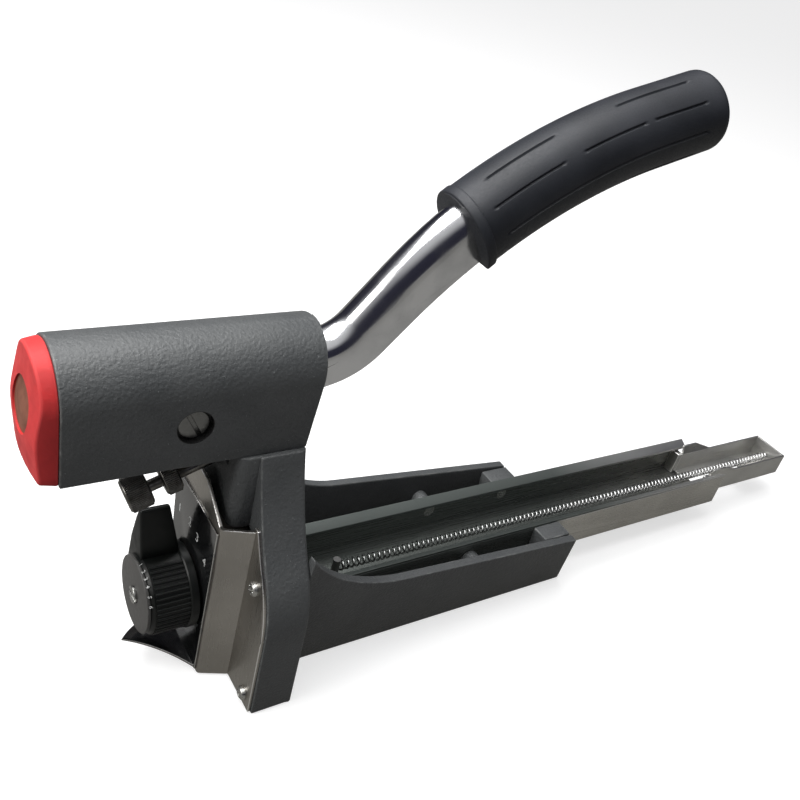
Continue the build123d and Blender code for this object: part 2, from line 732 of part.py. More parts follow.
# Driver: carrier on the drive pin, blade riveted to it
pin_at = (0, drive_pin_height)
carrier_stem = hull_face(pin_at, carrier_eye_radius, (0, carrier_wide_top), carrier_eye_radius)
carrier = extrude(Plane.XZ.offset(carrier_half) * carrier_stem, -2 * carrier_half)
carrier = carrier + block(-carrier_back, carrier_back, -carrier_wide_half, carrier_wide_half,
                          blade_top + seat_gap, carrier_wide_top)
carrier = carrier + block(blade_thick / 2, carrier_back, -carrier_wide_half, carrier_wide_half, carrier_bottom,
                          blade_top + over)
carrier = carrier + block(plate_back, -carrier_back + over, -hanger_half, hanger_half,
                          blade_top + seat_gap, hanger_top)
carrier = carrier - rod((0, -carrier_half, drive_pin_height), (0, 1, 0), drive_pin_radius + pin_gap,
                        2 * carrier_half)
pin_reach = lever_half - run_gap
drive_pin = rod((0, -pin_reach, drive_pin_height), (0, 1, 0), drive_pin_radius, 2 * pin_reach)
blade = prism_x([(-blade_half, blade_rest), (blade_half, blade_rest), (blade_half, blade_shoulder),
                 (blade_neck_half, blade_shoulder), (blade_neck_half, blade_top), (-blade_neck_half, blade_top),
                 (-blade_neck_half, blade_shoulder), (-blade_half, blade_shoulder)],
                -blade_thick / 2, blade_thick / 2)
rivets = []
rivet_z = (blade_top + carrier_bottom) / 2
for side in (1, -1):
    rivet_start = (-blade_thick / 2, side * rivet_spread, rivet_z)
    blade = blade - rod(rivet_start, (1, 0, 0), rivet_radius + pin_gap, blade_thick)
    carrier = carrier - rod(rivet_start, (1, 0, 0), rivet_radius + pin_gap, carrier_depth)
    rivets.append(rod(rivet_start, (1, 0, 0), rivet_radius, blade_thick / 2 + carrier_back))
save("driver_carrier", carrier)
save("drive_pin", drive_pin)
save("driver_blade", blade)
save("blade_rivets", rivets)


def stud_place(part):
    """Place of a clincher's stud in (y, z) when the driver has made part of its stroke."""
    turn = radians(claw_arm_angle - claw_swing * part)
    return (claw_pivot_y + claw_arm * cos(turn), claw_pivot_z + claw_arm * sin(turn))


# Cam plate: its slanted slots spread the clinchers' studs as the driver goes down
track = []
for step in range(plate_steps + 1):
    stud_y, stud_z = stud_place(step / plate_steps)
    track.append((stud_y, stud_z + stroke * step / plate_steps))
track_cut = slot_face(track, claw_stud_radius + run_gap)
plate_low = track[0][1] - plate_rim
plate_high = track[-1][1] + plate_rim
half_plate = [(0, plate_low), (plate_half - plate_cut, plate_low), (plate_half, plate_low + plate_cut),
              (plate_half, plate_high - plate_rim), (plate_half - plate_rim, plate_high),
              (hanger_half, plate_high),
              (hanger_half, hanger_top), (0, hanger_top)]
half_plate = prism_x(half_plate, plate_back - plate_thick, plate_back)
half_plate = half_plate - extrude(Plane.YZ.offset(plate_back - plate_thick) * track_cut, plate_thick)
cam_plate = half_plate + mirror(half_plate, about=Plane.XZ)
save("cam_plate", cam_plate)

# Clinchers: flat claws on their pins, each with a stud that runs in the cam plate's slot
claw_tip = (claw_reach * cos(radians(claw_tip_angle)), claw_reach * sin(radians(claw_tip_angle)))
stud = stud_place(0)
stud_rel = (stud[0] - claw_pivot_y, stud[1] - claw_pivot_z)
root_turn = radians(claw_root_angle)
claw_root_out = (claw_eye_radius * cos(root_turn), claw_eye_radius * sin(root_turn))
claw_root_in = (-claw_root_out[1] / 2, -claw_eye_radius + seat_gap)
claw_edges = [
    ThreePointArc(claw_root_out, claw_elbow_out, claw_tip),
    ThreePointArc(claw_tip, claw_elbow_in, claw_root_in),
    Line(claw_root_in, claw_root_out),
]
claw_face = make_face(claw_edges) + hull_face((0, 0), claw_eye_radius, stud_rel, claw_arm_radius)
tip_face = make_face(claw_edges) & (Pos(*claw_tip) * Circle(claw_tip_size))
claw_place = Pos(0, claw_pivot_y, claw_pivot_z)
claw = extrude(Plane.YZ.offset(claw_front) * claw_face, claw_thick)
claw = claw + extrude(Plane.YZ.offset(claw_front) * tip_face, claw_tip_depth)
claw = claw - rod((claw_front, 0, 0), (1, 0, 0), claw_pin_radius + pin_gap, claw_thick)
claw = claw + rod((claw_front, stud_rel[0], stud_rel[1]), (-1, 0, 0), claw_stud_radius, run_gap + plate_thick)
right_claw, left_claw = both_sides(claw_place * claw)
save("right_clincher", right_claw)
save("left_clincher", left_claw)

# Magazine: folded channel screwed between the wings, with a sloping lip strip welded along each wall
lip_slope = lip_drop / lip_width
wall_top = channel_top - channel_sheet
channel_points = [(channel_half, channel_bottom), (channel_half, wall_top),
                  (channel_inner, wall_top - lip_slope * channel_sheet), (channel_inner, channel_floor)]
channel = prism_x(channel_points + [(-y, z) for y, z in reversed(channel_points)], leg_rear, channel_rear)
rail_points = [(channel_half, wall_top), (channel_half, channel_top),
               (channel_half - lip_width, channel_top - lip_drop),
               (channel_half - lip_width, wall_top - lip_drop)]
save("magazine_rails", both_sides(prism_x(rail_points, leg_rear, channel_rear)))

# Wings: leaning cast plates with a front flange, a boss and a rear lug
wing_rear = leg_rear + wing_length
profile_edges = [
    Line((leg_rear, 0), (leg_rear, wing_front_height)),
    ThreePointArc((leg_rear, wing_front_height), (wing_scoop_x, wing_scoop_z), (wing_mid_x, wing_mid_z)),
    Line((wing_mid_x, wing_mid_z), (wing_rear, wing_rear_z)),
    Line((wing_rear, wing_rear_z), (wing_rear + wing_rear_run, 0)),
    Line((wing_rear + wing_rear_run, 0), (leg_rear, 0)),
]
wing = extrude(Plane.XZ * make_face(profile_edges), -leg_half)
lean_top = wing_front_height
lean_run = wing_lean * lean_top
wing = wing & prism_x([(wing_foot_half - wing_thick, 0), (wing_foot_half, 0),
                       (wing_foot_half + lean_run, lean_top),
                       (wing_foot_half - wing_thick + lean_run, lean_top)], leg_rear, wing_rear + wing_rear_run)
lug_outer = wing_foot_half - wing_thick / 2 + wing_lean * lug_bottom
lug = block(wing_rear - lug_length, wing_rear, channel_half, lug_outer, lug_bottom, wing_rear_z)
wing_boss = rod((wing_boss_x, channel_half, wing_boss_z), (0, 1, 0), wing_boss_radius,
                wing_foot_half - wing_thick / 2 + wing_lean * wing_boss_z - channel_half)
flange_inner = channel_half + seat_gap
flange_foot = wing_foot_half - wing_thick / 2
flange = prism_x([(flange_inner, channel_bottom), (flange_foot, channel_bottom - (flange_foot - flange_inner)),
                  (flange_foot + wing_lean * wing_flange_height, wing_flange_height),
                  (flange_inner, wing_flange_height)], leg_rear, leg_rear + wing_flange_depth)
wing = wing + lug + wing_boss + flange
bolts = []
for bolt_y, bolt_z in [(lower_bolt_y, lower_bolt_z), (upper_bolt_y, upper_bolt_z)]:
    seat = (leg_rear + wing_flange_depth, bolt_y, bolt_z)
    wing = wing - rod(seat, (-1, 0, 0), bolt_radius + pin_gap, wing_flange_depth)
    wing = wing - rod(seat, (1, 0, 0), bolt_head_radius + run_gap, bolt_head_length + over)
    bolt = rod(seat, (1, 0, 0), bolt_head_radius, bolt_head_length)
    bolt = bolt + rod(seat, (-1, 0, 0), bolt_radius, wing_flange_depth + bolt_grip - over)
    bolts += both_sides(bolt)
screws = []
lug_middle = (wing_rear - lug_length / 2, (lug_bottom + wing_rear_z) / 2)
for screw_x, screw_z in [(wing_boss_x, wing_boss_z), lug_middle]:
    start = (screw_x, channel_half, screw_z)
    wing = wing - rod(start, (0, 1, 0), channel_screw_radius + pin_gap, channel_screw_grip)
    sink = rod(start, (0, -1, 0), channel_screw_head + pin_gap, channel_sheet)
    for piece in both_sides(sink):
        channel = channel - piece
    screw = rod(start, (0, -1, 0), channel_screw_head, channel_sheet)
    screw = screw + rod(start, (0, 1, 0), channel_screw_radius, channel_screw_grip - over)
    screws += both_sides(screw)
left_wing, right_wing = both_sides(wing)
save("magazine_channel", channel)
save("left_wing", left_wing)
save("right_wing", right_wing)
save("wing_bolts", bolts)
save("magazine_screws", screws)

# Pusher: closed trough with flared ears and a slot over the spring's post; its cheeks press the staples
slide_top = slide_floor + slide_wall_height
slide = prism_x([(-slide_half, slide_floor), (slide_half, slide_floor), (slide_half, slide_top),
                 (slide_half - slide_sheet, slide_top), (slide_half - slide_sheet, slide_floor + slide_sheet),
                 (slide_sheet - slide_half, slide_floor + slide_sheet), (slide_sheet - slide_half, slide_top),
                 (-slide_half, slide_top)], slide_front + pusher_head_depth, slide_rear)
end_wall = block(slide_rear - slide_sheet, slide_rear, -slide_half, slide_half, slide_floor, slide_top)
slide = slide + end_wall
ear_from = slide_front + ear_start
ear = prism_x([(slide_half - slide_sheet, slide_top - over), (slide_half, slide_top - over),
               (slide_half + ear_spread, slide_floor + ear_height),
               (slide_half + ear_spread - slide_sheet, slide_floor + ear_height)],
              ear_from, ear_from + ear_length)
ear_end = ear_from + ear_length
ear = ear - prism_y([(ear_end, slide_top), (ear_end, slide_floor + ear_height + over),
                     (ear_end - ear_slope, slide_floor + ear_height + over)], 0, slide_half + ear_spread)
for piece in both_sides(ear):
    slide = slide + piece
slide = slide - block(slide_front, slide_front + slide_slot_length, -slide_slot_half, slide_slot_half,
                      slide_floor, slide_floor + slide_sheet)
save("pusher_slide", slide)
pusher_half = channel_inner - run_gap
pusher_top = slide_floor + pusher_head_height
cheek = block(slide_front, slide_front + pusher_head_depth, slide_half - slide_sheet, pusher_half,
              slide_floor, pusher_top)
save("pusher_head", both_sides(cheek))
save("spring_post", rod((post_x, 0, channel_floor), (0, 0, 1), post_radius, post_height))

# Anchor bar for the return spring, across the head behind the cap
return_spring_z = pivot_height + lug_pin_place * lever_u[1] + return_spring_rise * lever_n[1]
return_spring_end = pivot_x + lug_pin_place * lever_u[0] + return_spring_rise * lever_n[0] - lug_pin_radius
return_spring_end = return_spring_end - seat_gap * 2
anchor_drop = return_spring_z + anchor_radius - head_centre
anchor_half = sqrt(head_inner ** 2 - anchor_drop ** 2) - seat_gap
save("spring_anchor", rod((anchor_x, -anchor_half, return_spring_z), (0, 1, 0), anchor_radius,
                          2 * anchor_half))


def biarc(start, start_way, end, end_way):
    """Two arcs that leave start and reach end along the given ways."""
    reach = end - start
    spread = 2 * (1 - start_way.dot(end_way))
    lean = reach.dot(start_way + end_way)
    arm = (-lean + sqrt(lean ** 2 + spread * reach.dot(reach))) / spread
    middle = (start + end + (start_way - end_way) * arm) * 0.5
    middle_way = (reach - (start_way + end_way) * arm).normalized()
    return [TangentArc(start, middle, tangent=start_way), TangentArc(middle, end, tangent=middle_way)]


def coil(x0, x1, height, radius, wire, turns):
    """Spring wire along X as one four-sided tube, with a straight run at each end."""
    lead = wire
    blend = 3 * wire
    pitch = (x1 - x0 - 2 * lead - 2 * blend) / turns

    def on_helix(turn):
        along = x0 + lead + blend + pitch * turn
        angle = 2 * pi * turn + pi / 2
        way = Vector(pitch / (2 * pi), -radius * sin(angle), radius * cos(angle)).normalized()
        return Vector(along, radius * cos(angle), height + radius * sin(angle)), way

    forward = Vector(1, 0, 0)
    first = Vector(x0, 0, height)
    last = Vector(x1, 0, height)
    edges = [Line(first, first + forward * lead)]
    spots = [(first + forward * lead, forward)]
    spots += [on_helix(step / 2) for step in range(2 * turns + 1)]
    spots.append((last - forward * lead, forward))
    for (start, start_way), (end, end_way) in zip(spots, spots[1:]):
        edges += biarc(start, start_way, end, end_way)
    edges.append(Line(last - forward * lead, last))
    path = Wire(edges)
    section = Plane(origin=first, x_dir=(0, 1, 0), z_dir=(1, 0, 0)) * RegularPolygon(wire / 2, wire_sides)
    tube = sweep(section, path=path, clean=False)
    points = [path @ (k / (turns * 24)) for k in range(turns * 24 + 1)]
    gap = min((points[i] - points[j]).length for i in range(0, len(points), 3)
              for j in range(i + 14, min(i + 60, len(points)))) - wire
    print("coil of", turns, "turns, least gap to itself", round(gap, 2), "mm, radii from",
          round(min(e.radius for e in edges if e.geom_type == GeomType.CIRCLE), 2), "mm, volume ratio",
          round(tube.volume / (path.length * RegularPolygon(wire / 2, wire_sides).area), 3))
    return tube


save("pusher_spring", coil(post_x + post_radius, slide_rear - slide_sheet, spring_height, pusher_spring_radius,
                           pusher_wire, pusher_turns))
save("return_spring", coil(anchor_x + anchor_radius, return_spring_end, return_spring_z, return_spring_radius,
                           return_wire, return_turns))
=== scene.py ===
import math

import bmesh
import bpy
from mathutils import Matrix, Vector


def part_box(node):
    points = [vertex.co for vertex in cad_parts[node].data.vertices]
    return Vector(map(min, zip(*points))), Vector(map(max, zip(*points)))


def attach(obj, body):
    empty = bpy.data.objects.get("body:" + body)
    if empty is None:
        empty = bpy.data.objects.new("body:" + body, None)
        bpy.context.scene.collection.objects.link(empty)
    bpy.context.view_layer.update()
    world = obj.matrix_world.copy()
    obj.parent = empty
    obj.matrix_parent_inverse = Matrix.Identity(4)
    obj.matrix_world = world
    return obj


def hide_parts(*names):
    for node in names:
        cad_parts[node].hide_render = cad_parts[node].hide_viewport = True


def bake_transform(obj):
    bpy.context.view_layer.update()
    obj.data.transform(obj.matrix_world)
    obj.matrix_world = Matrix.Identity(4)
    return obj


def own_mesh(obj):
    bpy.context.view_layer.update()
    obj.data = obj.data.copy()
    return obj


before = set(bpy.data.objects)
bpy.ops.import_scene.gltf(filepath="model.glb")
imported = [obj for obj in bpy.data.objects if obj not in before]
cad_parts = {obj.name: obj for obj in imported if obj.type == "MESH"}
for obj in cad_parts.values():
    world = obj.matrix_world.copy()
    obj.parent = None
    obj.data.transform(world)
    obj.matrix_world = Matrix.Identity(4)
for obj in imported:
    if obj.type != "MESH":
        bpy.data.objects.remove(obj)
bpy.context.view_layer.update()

mm = 0.001

# Leg casting: the wide aluminium foot that carries the head, the front pocket and both wings.
# Sand cast, its edges softened by tumbling, then sprayed with a fine sandy grey paint
# that has rubbed thin along the edges.
casting_round = 0.7 * mm
crease = 28


def plain_mesh(bm, name, sharp):
    """Mesh made of a bmesh, shaded smooth apart from edges sharper than so many degrees."""
    mesh = bpy.data.meshes.new(name)
    bm.to_mesh(mesh)
    bm.free()
    if "custom_normal" in mesh.attributes:
        mesh.attributes.remove(mesh.attributes["custom_normal"])
    mesh.shade_smooth()
    mesh.set_sharp_from_angle(angle=math.radians(sharp))
    return mesh


def rounded(bm, edges, edge_round, segments, clamp):
    """Round edges of a bmesh; gives the new faces."""
    return bmesh.ops.bevel(bm, geom=edges, offset=edge_round, offset_type="OFFSET", segments=segments,
                           profile=0.5, affect="EDGES", clamp_overlap=clamp)["faces"]


def rounded_copy(node, edge_round, sharp=35):
    """Merged copy of a CAD node with its sharp outer edges rounded; the rounds carry edge_band 1."""
    merge_reach, flat_limit = 0.002 * mm, math.radians(0.3)
    bm = bmesh.new()
    bm.from_mesh(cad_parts[node].data)
    bmesh.ops.remove_doubles(bm, verts=bm.verts, dist=merge_reach)
    bmesh.ops.dissolve_limit(bm, angle_limit=flat_limit, use_dissolve_boundaries=False,
                             verts=bm.verts, edges=bm.edges)
    band = bm.faces.layers.float.new("edge_band")
    limit = math.radians(sharp)
    edges = [e for e in bm.edges if len(e.link_faces) == 2 and e.is_convex
             and e.calc_face_angle() > limit and e.calc_length() > edge_round]
    bmesh.ops.triangulate(bm, faces=[f for f in bm.faces if len(f.verts) > 4], ngon_method="EAR_CLIP")
    for face in rounded(bm, edges, edge_round, 3, False):
        face[band] = 1.0
    bmesh.ops.triangulate(bm, faces=[f for f in bm.faces if len(f.verts) > 4], ngon_method="EAR_CLIP")
    return plain_mesh(bm, node, crease)


def settle(mesh, name, body, slot, material, *nodes):
    """Make the mesh a piece that rides on a body and stands for the CAD nodes it is given."""
    mesh.materials.clear()
    mesh.materials.append(material)
    piece = bpy.data.objects.new(name, mesh)
    bpy.context.scene.collection.objects.link(piece)
    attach(piece, body)
    if nodes:
        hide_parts(*nodes)
    return piece


def finish(name, base, metallic, roughness):
    """New material with its plain values on the shader; also its tree, shader and coordinates."""
    material = bpy.data.materials.new(name)
    material.use_nodes = True
    tree = material.node_tree
    shader = tree.nodes["Principled BSDF"]
    shader.inputs["Base Color"].default_value = (*base, 1)
    shader.inputs["Metallic"].default_value = metallic
    shader.inputs["Roughness"].default_value = roughness
    return material, tree, shader, tree.nodes.new("ShaderNodeTexCoord").outputs["Object"]


def mottle(tree, coords, scale, detail=2.0, stretch=(1, 1, 1)):
    """Noise of so many features a metre, drawn out along an axis by a small stretch there."""
    mapping = tree.nodes.new("ShaderNodeMapping")
    mapping.inputs["Scale"].default_value = stretch
    noise = tree.nodes.new("ShaderNodeTexNoise")
    noise.inputs["Scale"].default_value = scale
    noise.inputs["Detail"].default_value = detail
    tree.links.new(coords, mapping.inputs["Vector"])
    tree.links.new(mapping.outputs["Vector"], noise.inputs["Vector"])
    return noise.outputs["Fac"]


def span(tree, value, low, high, to_low, to_high):
    """Value from low to high, carried to another range and held at its ends."""
    node = tree.nodes.new("ShaderNodeMapRange")
    node.inputs["From Min"].default_value = low
    node.inputs["From Max"].default_value = high
    node.inputs["To Min"].default_value = to_low
    node.inputs["To Max"].default_value = to_high
    tree.links.new(value, node.inputs["Value"])
    return node.outputs["Result"]


def reckon(tree, operation, *values):
    """Result of a sum on values, each a socket or a number."""
    node = tree.nodes.new("ShaderNodeMath")
    node.operation = operation
    for socket, value in zip(node.inputs, values):
        if isinstance(value, (int, float)):
            socket.default_value = value
        else:
            tree.links.new(value, socket)
    return node.outputs[0]


def times(tree, first, second):
    """Product of two values."""
    return reckon(tree, "MULTIPLY", first, second)


def tint(tree, share, low, high):
    """Colour between two colours or colour sockets, by a share from 0 to 1."""
    node = tree.nodes.new("ShaderNodeMix")
    node.data_type = "RGBA"
    tree.links.new(share, node.inputs[0])
    for colour, socket in ((low, node.inputs[6]), (high, node.inputs[7])):
        if isinstance(colour, tuple):
            socket.default_value = (*colour, 1)
        else:
            tree.links.new(colour, socket)
    return node.outputs[2]


def rounds(tree):
    """Share that is 1 on the rounded edges and 0 elsewhere."""
    node = tree.nodes.new("ShaderNodeAttribute")
    node.attribute_name = "edge_band"
    return node.outputs["Fac"]


def surface(tree, shader, colour, roughness):
    """Join a colour and a roughness to the shader."""
    tree.links.new(colour, shader.inputs["Base Color"])
    tree.links.new(roughness, shader.inputs["Roughness"])


def relief(tree, shader, height, depth, strength):
    """Bump on the shader from a height, so many metres deep."""
    bump = tree.nodes.new("ShaderNodeBump")
    bump.inputs["Distance"].default_value = depth
    bump.inputs["Strength"].default_value = strength
    tree.links.new(height, bump.inputs["Height"])
    tree.links.new(bump.outputs["Normal"], shader.inputs["Normal"])


def casting_paint(name, painted_shade=None):
    """Sandy grey paint with light specks, cloudy tone and worn edges; near-black painted shade where the
    given share says so.
    """
    material, tree, shader, coords = finish(name, (0.08, 0.084, 0.086), 0, 0.5)
    cloud = span(tree, mottle(tree, coords, 45, 4), 0.3, 0.7, 0, 1)
    grain = mottle(tree, coords, 1500, 3)
    peel = mottle(tree, coords, 700, 3)
    colour = tint(tree, cloud, (0.062, 0.066, 0.068), (0.084, 0.088, 0.089))
    specks = times(tree, span(tree, grain, 0.66, 0.72, 0, 0.55), span(tree, peel, 0.45, 0.6, 0, 1))
    colour = tint(tree, specks, colour, (0.30, 0.31, 0.31))
    chips = span(tree, mottle(tree, coords, 150, 5), 0.50, 0.66, 0.08, 0.55)
    colour = tint(tree, times(tree, rounds(tree), chips), colour, (0.22, 0.225, 0.22))
    # Painted shade: the colour goes towards near black by the given share.
    if painted_shade:
        colour = tint(tree, painted_shade(tree, coords), colour, (0.006, 0.006, 0.006))
    surface(tree, shader, colour, span(tree, grain, 0.3, 0.7, 0.40, 0.60))
    relief(tree, shader, span(tree, peel, 0.3, 0.75, 0, 1), 0.25 * mm, 0.7)
    return material


grey_paint = casting_paint("grey_casting_paint")
settle(rounded_copy("leg_housing", casting_round), "leg_casting", "frame", "grey_paint", grey_paint,
       "leg_housing")

# Blade guide and the two clincher pins behind the cover: hardened tool steel,
# ground flat, let into the leg's pocket and held there by the pins.


def dress(material, *nodes):
    """Give CAD nodes that keep their shape a new finish."""
    for node in nodes:
        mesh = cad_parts[node].data
        mesh.materials.clear()
        mesh.materials.append(material)


def ground_steel(name, base, roughness, stretch):
    """Bare steel with fine grinding lines and a little staining."""
    material, tree, shader, coords = finish(name, base, 1, roughness)
    lines = mottle(tree, coords, 900, 3, stretch)
    stain = span(tree, mottle(tree, coords, 70, 4), 0.35, 0.75, 0, 1)
    dark = tuple(0.72 * c for c in base)
    surface(tree, shader, tint(tree, stain, base, dark),
            span(tree, lines, 0.3, 0.7, roughness - 0.08, roughness + 0.1))
    relief(tree, shader, lines, 0.03 * mm, 0.3)
    return material


hard_steel = ground_steel("ground_tool_steel", (0.42, 0.42, 0.43), 0.34, (0.1, 1, 1))
dress(hard_steel, "guide_plate", "clincher_pins")

# Head casting: the inverted U that houses the lever's pivot, in the same sandy grey paint.
# Four small bolts inside hold it down on the leg's neck.
pivot = Vector((-40, 0, 141.7)) * mm
bore_radius, bore_depth = 7.1 * mm, 3.0 * mm
head_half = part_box("head_housing")[1].y


def baked(holder):
    """Plain mesh that an object's modifiers make of it; the object itself goes."""
    bpy.context.view_layer.update()
    mesh = bpy.data.meshes.new_from_object(holder.evaluated_get(bpy.context.evaluated_depsgraph_get()))
    holder.modifiers.clear()
    bpy.data.objects.remove(holder)
    return mesh


def bored(mesh, name):
    """Copy of the head's mesh with a shallow counterbore round the pivot on both sides."""
    bm = bmesh.new()
    across = Matrix.Rotation(math.pi / 2, 4, "X")
    for side in (1, -1):
        place = Matrix.Translation(pivot + Vector((0, side * head_half, 0))) @ across
        bmesh.ops.create_cone(bm, cap_ends=True, segments=56, radius1=bore_radius, radius2=bore_radius,
                              depth=2 * bore_depth, matrix=place)
    cutter_mesh = bpy.data.meshes.new("bore cutter")
    bm.to_mesh(cutter_mesh)
    bm.free()
    cutter = bpy.data.objects.new("bore cutter", cutter_mesh)
    holder = bpy.data.objects.new("bored head", mesh)
    bpy.context.scene.collection.objects.link(cutter)
    bpy.context.scene.collection.objects.link(holder)
    cut = holder.modifiers.new("bore", "BOOLEAN")
    cut.operation = "DIFFERENCE"
    cut.solver = "EXACT"
    cut.object = cutter
    result = baked(holder)
    bpy.data.objects.remove(cutter)
    result.name = name
    result.set_sharp_from_angle(angle=math.radians(crease))
    return result


def distance(tree, coords, point):
    """How far the coordinates lie from a point."""
    node = tree.nodes.new("ShaderNodeVectorMath")
    node.operation = "DISTANCE"
    node.inputs[1].default_value = point
    tree.links.new(coords, node.inputs[0])
    return node.outputs["Value"]


def grimy_bore(tree, coords):
    """Share of painted shade: full inside the counterbores, none outside."""
    smear = 0.3 * mm
    beside = tree.nodes.new("ShaderNodeVectorMath")
    beside.operation = "MULTIPLY"
    beside.inputs[1].default_value = (1, 0, 1)
    tree.links.new(coords, beside.inputs[0])
    away = distance(tree, beside.outputs["Vector"], pivot)
    return span(tree, away, bore_radius, bore_radius + smear, 1, 0)


# The head's paint has painted shade, near black, inside the pivot's counterbores.
head_paint = casting_paint("grey_head_paint", grimy_bore)
settle(bored(rounded_copy("head_housing", casting_round), "head_casting"), "head_casting", "frame",
       "grey_paint", head_paint, "head_housing")
zinc_steel = ground_steel("zinc_plated_screws", (0.50, 0.50, 0.48), 0.3, (1, 1, 1))
dress(zinc_steel, "head_bolts")

# End cap: red moulded plug pressed into the head's open front.
# Drafted sides, a rounded rim and a shallow bare dish on its face.
cap_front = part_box("end_cap")[0].x
cap_round = 0.9 * mm
dish_middle, dish_radius, dish_rim = Vector((cap_front, 0, 147.95 * mm)), 10.3 * mm, 0.2 * mm
swell, swell_middle, swell_reach = 2.3 * mm, 142 * mm, 14 * mm
fall_aside, fall_up, fall_down = 1.9 * mm, 2.8 * mm, 1.5 * mm
face_back, fade = cap_front + 1.1 * mm, 4 * mm
cuts_across, cuts_up = range(-15, 16, 5), range(128, 172, 4)
red_base = (0.58, 0.042, 0.043)
cap_red, tree, shader, coords = finish("red_moulded_plastic", red_base, 0, 0.5)
shader.inputs["Specular IOR Level"].default_value = 0.2
shader.inputs["Subsurface Weight"].default_value = 0.08
shader.inputs["Subsurface Radius"].default_value = (0.004, 0.001, 0.001)
wear = span(tree, mottle(tree, coords, 120, 5), 0.4, 0.7, 0, 1)
rubbed = times(tree, rounds(tree), span(tree, mottle(tree, coords, 60, 3), 0.3, 0.6, 0.25, 0.7))
colour = tint(tree, wear, red_base, (0.47, 0.039, 0.040))
colour = tint(tree, rubbed, colour, (0.60, 0.06, 0.06))
bare = span(tree, distance(tree, coords, dish_middle), dish_radius, dish_radius + dish_rim, 1, 0)
brown = tint(tree, wear, (0.20, 0.075, 0.045), (0.12, 0.045, 0.028))
surface(tree, shader, tint(tree, bare, colour, brown), span(tree, wear, 0, 1, 0.46, 0.60))
relief(tree, shader, mottle(tree, coords, 500, 2), 0.05 * mm, 0.25)


def domed_cap():
    """The cap's rounded copy with its front face cut into strips and swelled a little to the front."""
    bm = bmesh.new()
    bm.from_mesh(rounded_copy("end_cap", cap_round))
    cuts = [((0, 1, 0), y) for y in cuts_across] + [((0, 0, 1), z) for z in cuts_up]
    for normal, at in cuts:
        bmesh.ops.bisect_plane(bm, geom=bm.verts[:] + bm.edges[:] + bm.faces[:], dist=0.001 * mm,
                               plane_co=Vector(normal) * at * mm, plane_no=normal)
    for vert in bm.verts:
        rise = (vert.co.z - swell_middle) / swell_reach
        fall = (fall_up if rise > 0 else fall_down) * (1 - math.exp(-rise ** 2))
        share = min(max((face_back - vert.co.x) / fade + 1, 0), 1)
        vert.co.x += share * (fall + fall_aside * (vert.co.y / head_half) ** 2 - swell)
    return plain_mesh(bm, "red_end_cap", crease)


settle(domed_cap(), "red_end_cap", "frame", "red_plastic", cap_red, "end_cap")

# Front cover: pressed stainless sheet over the pocket, brushed upright, with side flanges.
# Four pan-head screws with cross recesses hold the flanges to the leg.
sheet_round, cover_sheet, flange_step = 0.35 * mm, 1.5 * mm, 9 * mm
flange_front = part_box("leg_housing")[0].x + flange_step - cover_sheet
pan_radius, pan_rise = 3.4 * mm, 2.2 * mm
pan_places = ((36.7, 66.5), (42.5, 7))


def brushed_stainless(name, stretch, base=(0.42, 0.40, 0.37), roughness=0.30, inside=None):
    """Stainless sheet brushed along the axis of the smallest stretch; darkened to a dull green-black where
    inside says so.
    """
    material, tree, shader, coords = finish(name, base, 1, roughness)
    brush = mottle(tree, coords, 2200, 3, stretch)
    cloud = span(tree, mottle(tree, coords, 28, 3), 0.3, 0.7, 0, 1)
    dull = tuple(0.78 * c for c in base)
    colour = tint(tree, rounds(tree), tint(tree, cloud, base, dull), (0.86, 0.85, 0.83))
    if inside:
        # Darkening where the given share says so: old oil and painted shade in the channel, darker towards
        # the front on the lips.
        darkening = inside(tree, coords)
        colour = tint(tree, darkening, colour, (0.095, 0.110, 0.103))
        tree.links.new(span(tree, darkening, 0, 1, 1, 0.62), shader.inputs["Metallic"])
    surface(tree, shader, colour, span(tree, brush, 0.3, 0.7, roughness - 0.05, roughness + 0.08))
    relief(tree, shader, brush, 0.012 * mm, 0.3)
    return material


cover_steel = brushed_stainless("upright_brushed_stainless", (1, 1, 0.02))
settle(rounded_copy("front_cover", sheet_round, 40), "front_cover_sheet", "frame",
       "stainless_sheet", cover_steel, "front_cover")


def grown(tree, name, values, seats=()):
    """Plain mesh that a node tree makes from the seats given as points and its input values."""
    mesh = bpy.data.meshes.new(name)
    mesh.from_pydata([Vector(p) for p in seats], [], [])
    seed = bpy.data.objects.new(name, mesh)
    bpy.context.scene.collection.objects.link(seed)
    modifier = seed.modifiers.new("grow", "NODES")
    modifier.node_group = tree
    for item in tree.interface.items_tree:
        if item.in_out == "INPUT" and item.name in values:
            modifier[item.identifier] = values[item.name]
    return baked(seed)


def sockets(name, inputs):
    """Empty node tree with named inputs of (name, type), plus its input and output nodes."""
    tree = bpy.data.node_groups.new(name, "GeometryNodeTree")
    tree.interface.new_socket("Geometry", in_out="INPUT", socket_type="NodeSocketGeometry")
    for label, kind in inputs:
        tree.interface.new_socket(label, in_out="INPUT", socket_type="NodeSocket" + kind)
    tree.interface.new_socket("Geometry", in_out="OUTPUT", socket_type="NodeSocketGeometry")
    return tree, tree.nodes.new("NodeGroupInput"), tree.nodes.new("NodeGroupOutput")


def close_tree(tree, given, out, geometry):
    """End a tree in Realize Instances and Set Material."""
    realize = tree.nodes.new("GeometryNodeRealizeInstances")
    paint = tree.nodes.new("GeometryNodeSetMaterial")
    tree.links.new(geometry, realize.inputs["Geometry"])
    tree.links.new(realize.outputs["Geometry"], paint.inputs["Geometry"])
    tree.links.new(given.outputs["Material"], paint.inputs["Material"])
    tree.links.new(paint.outputs["Geometry"], out.inputs["Geometry"])


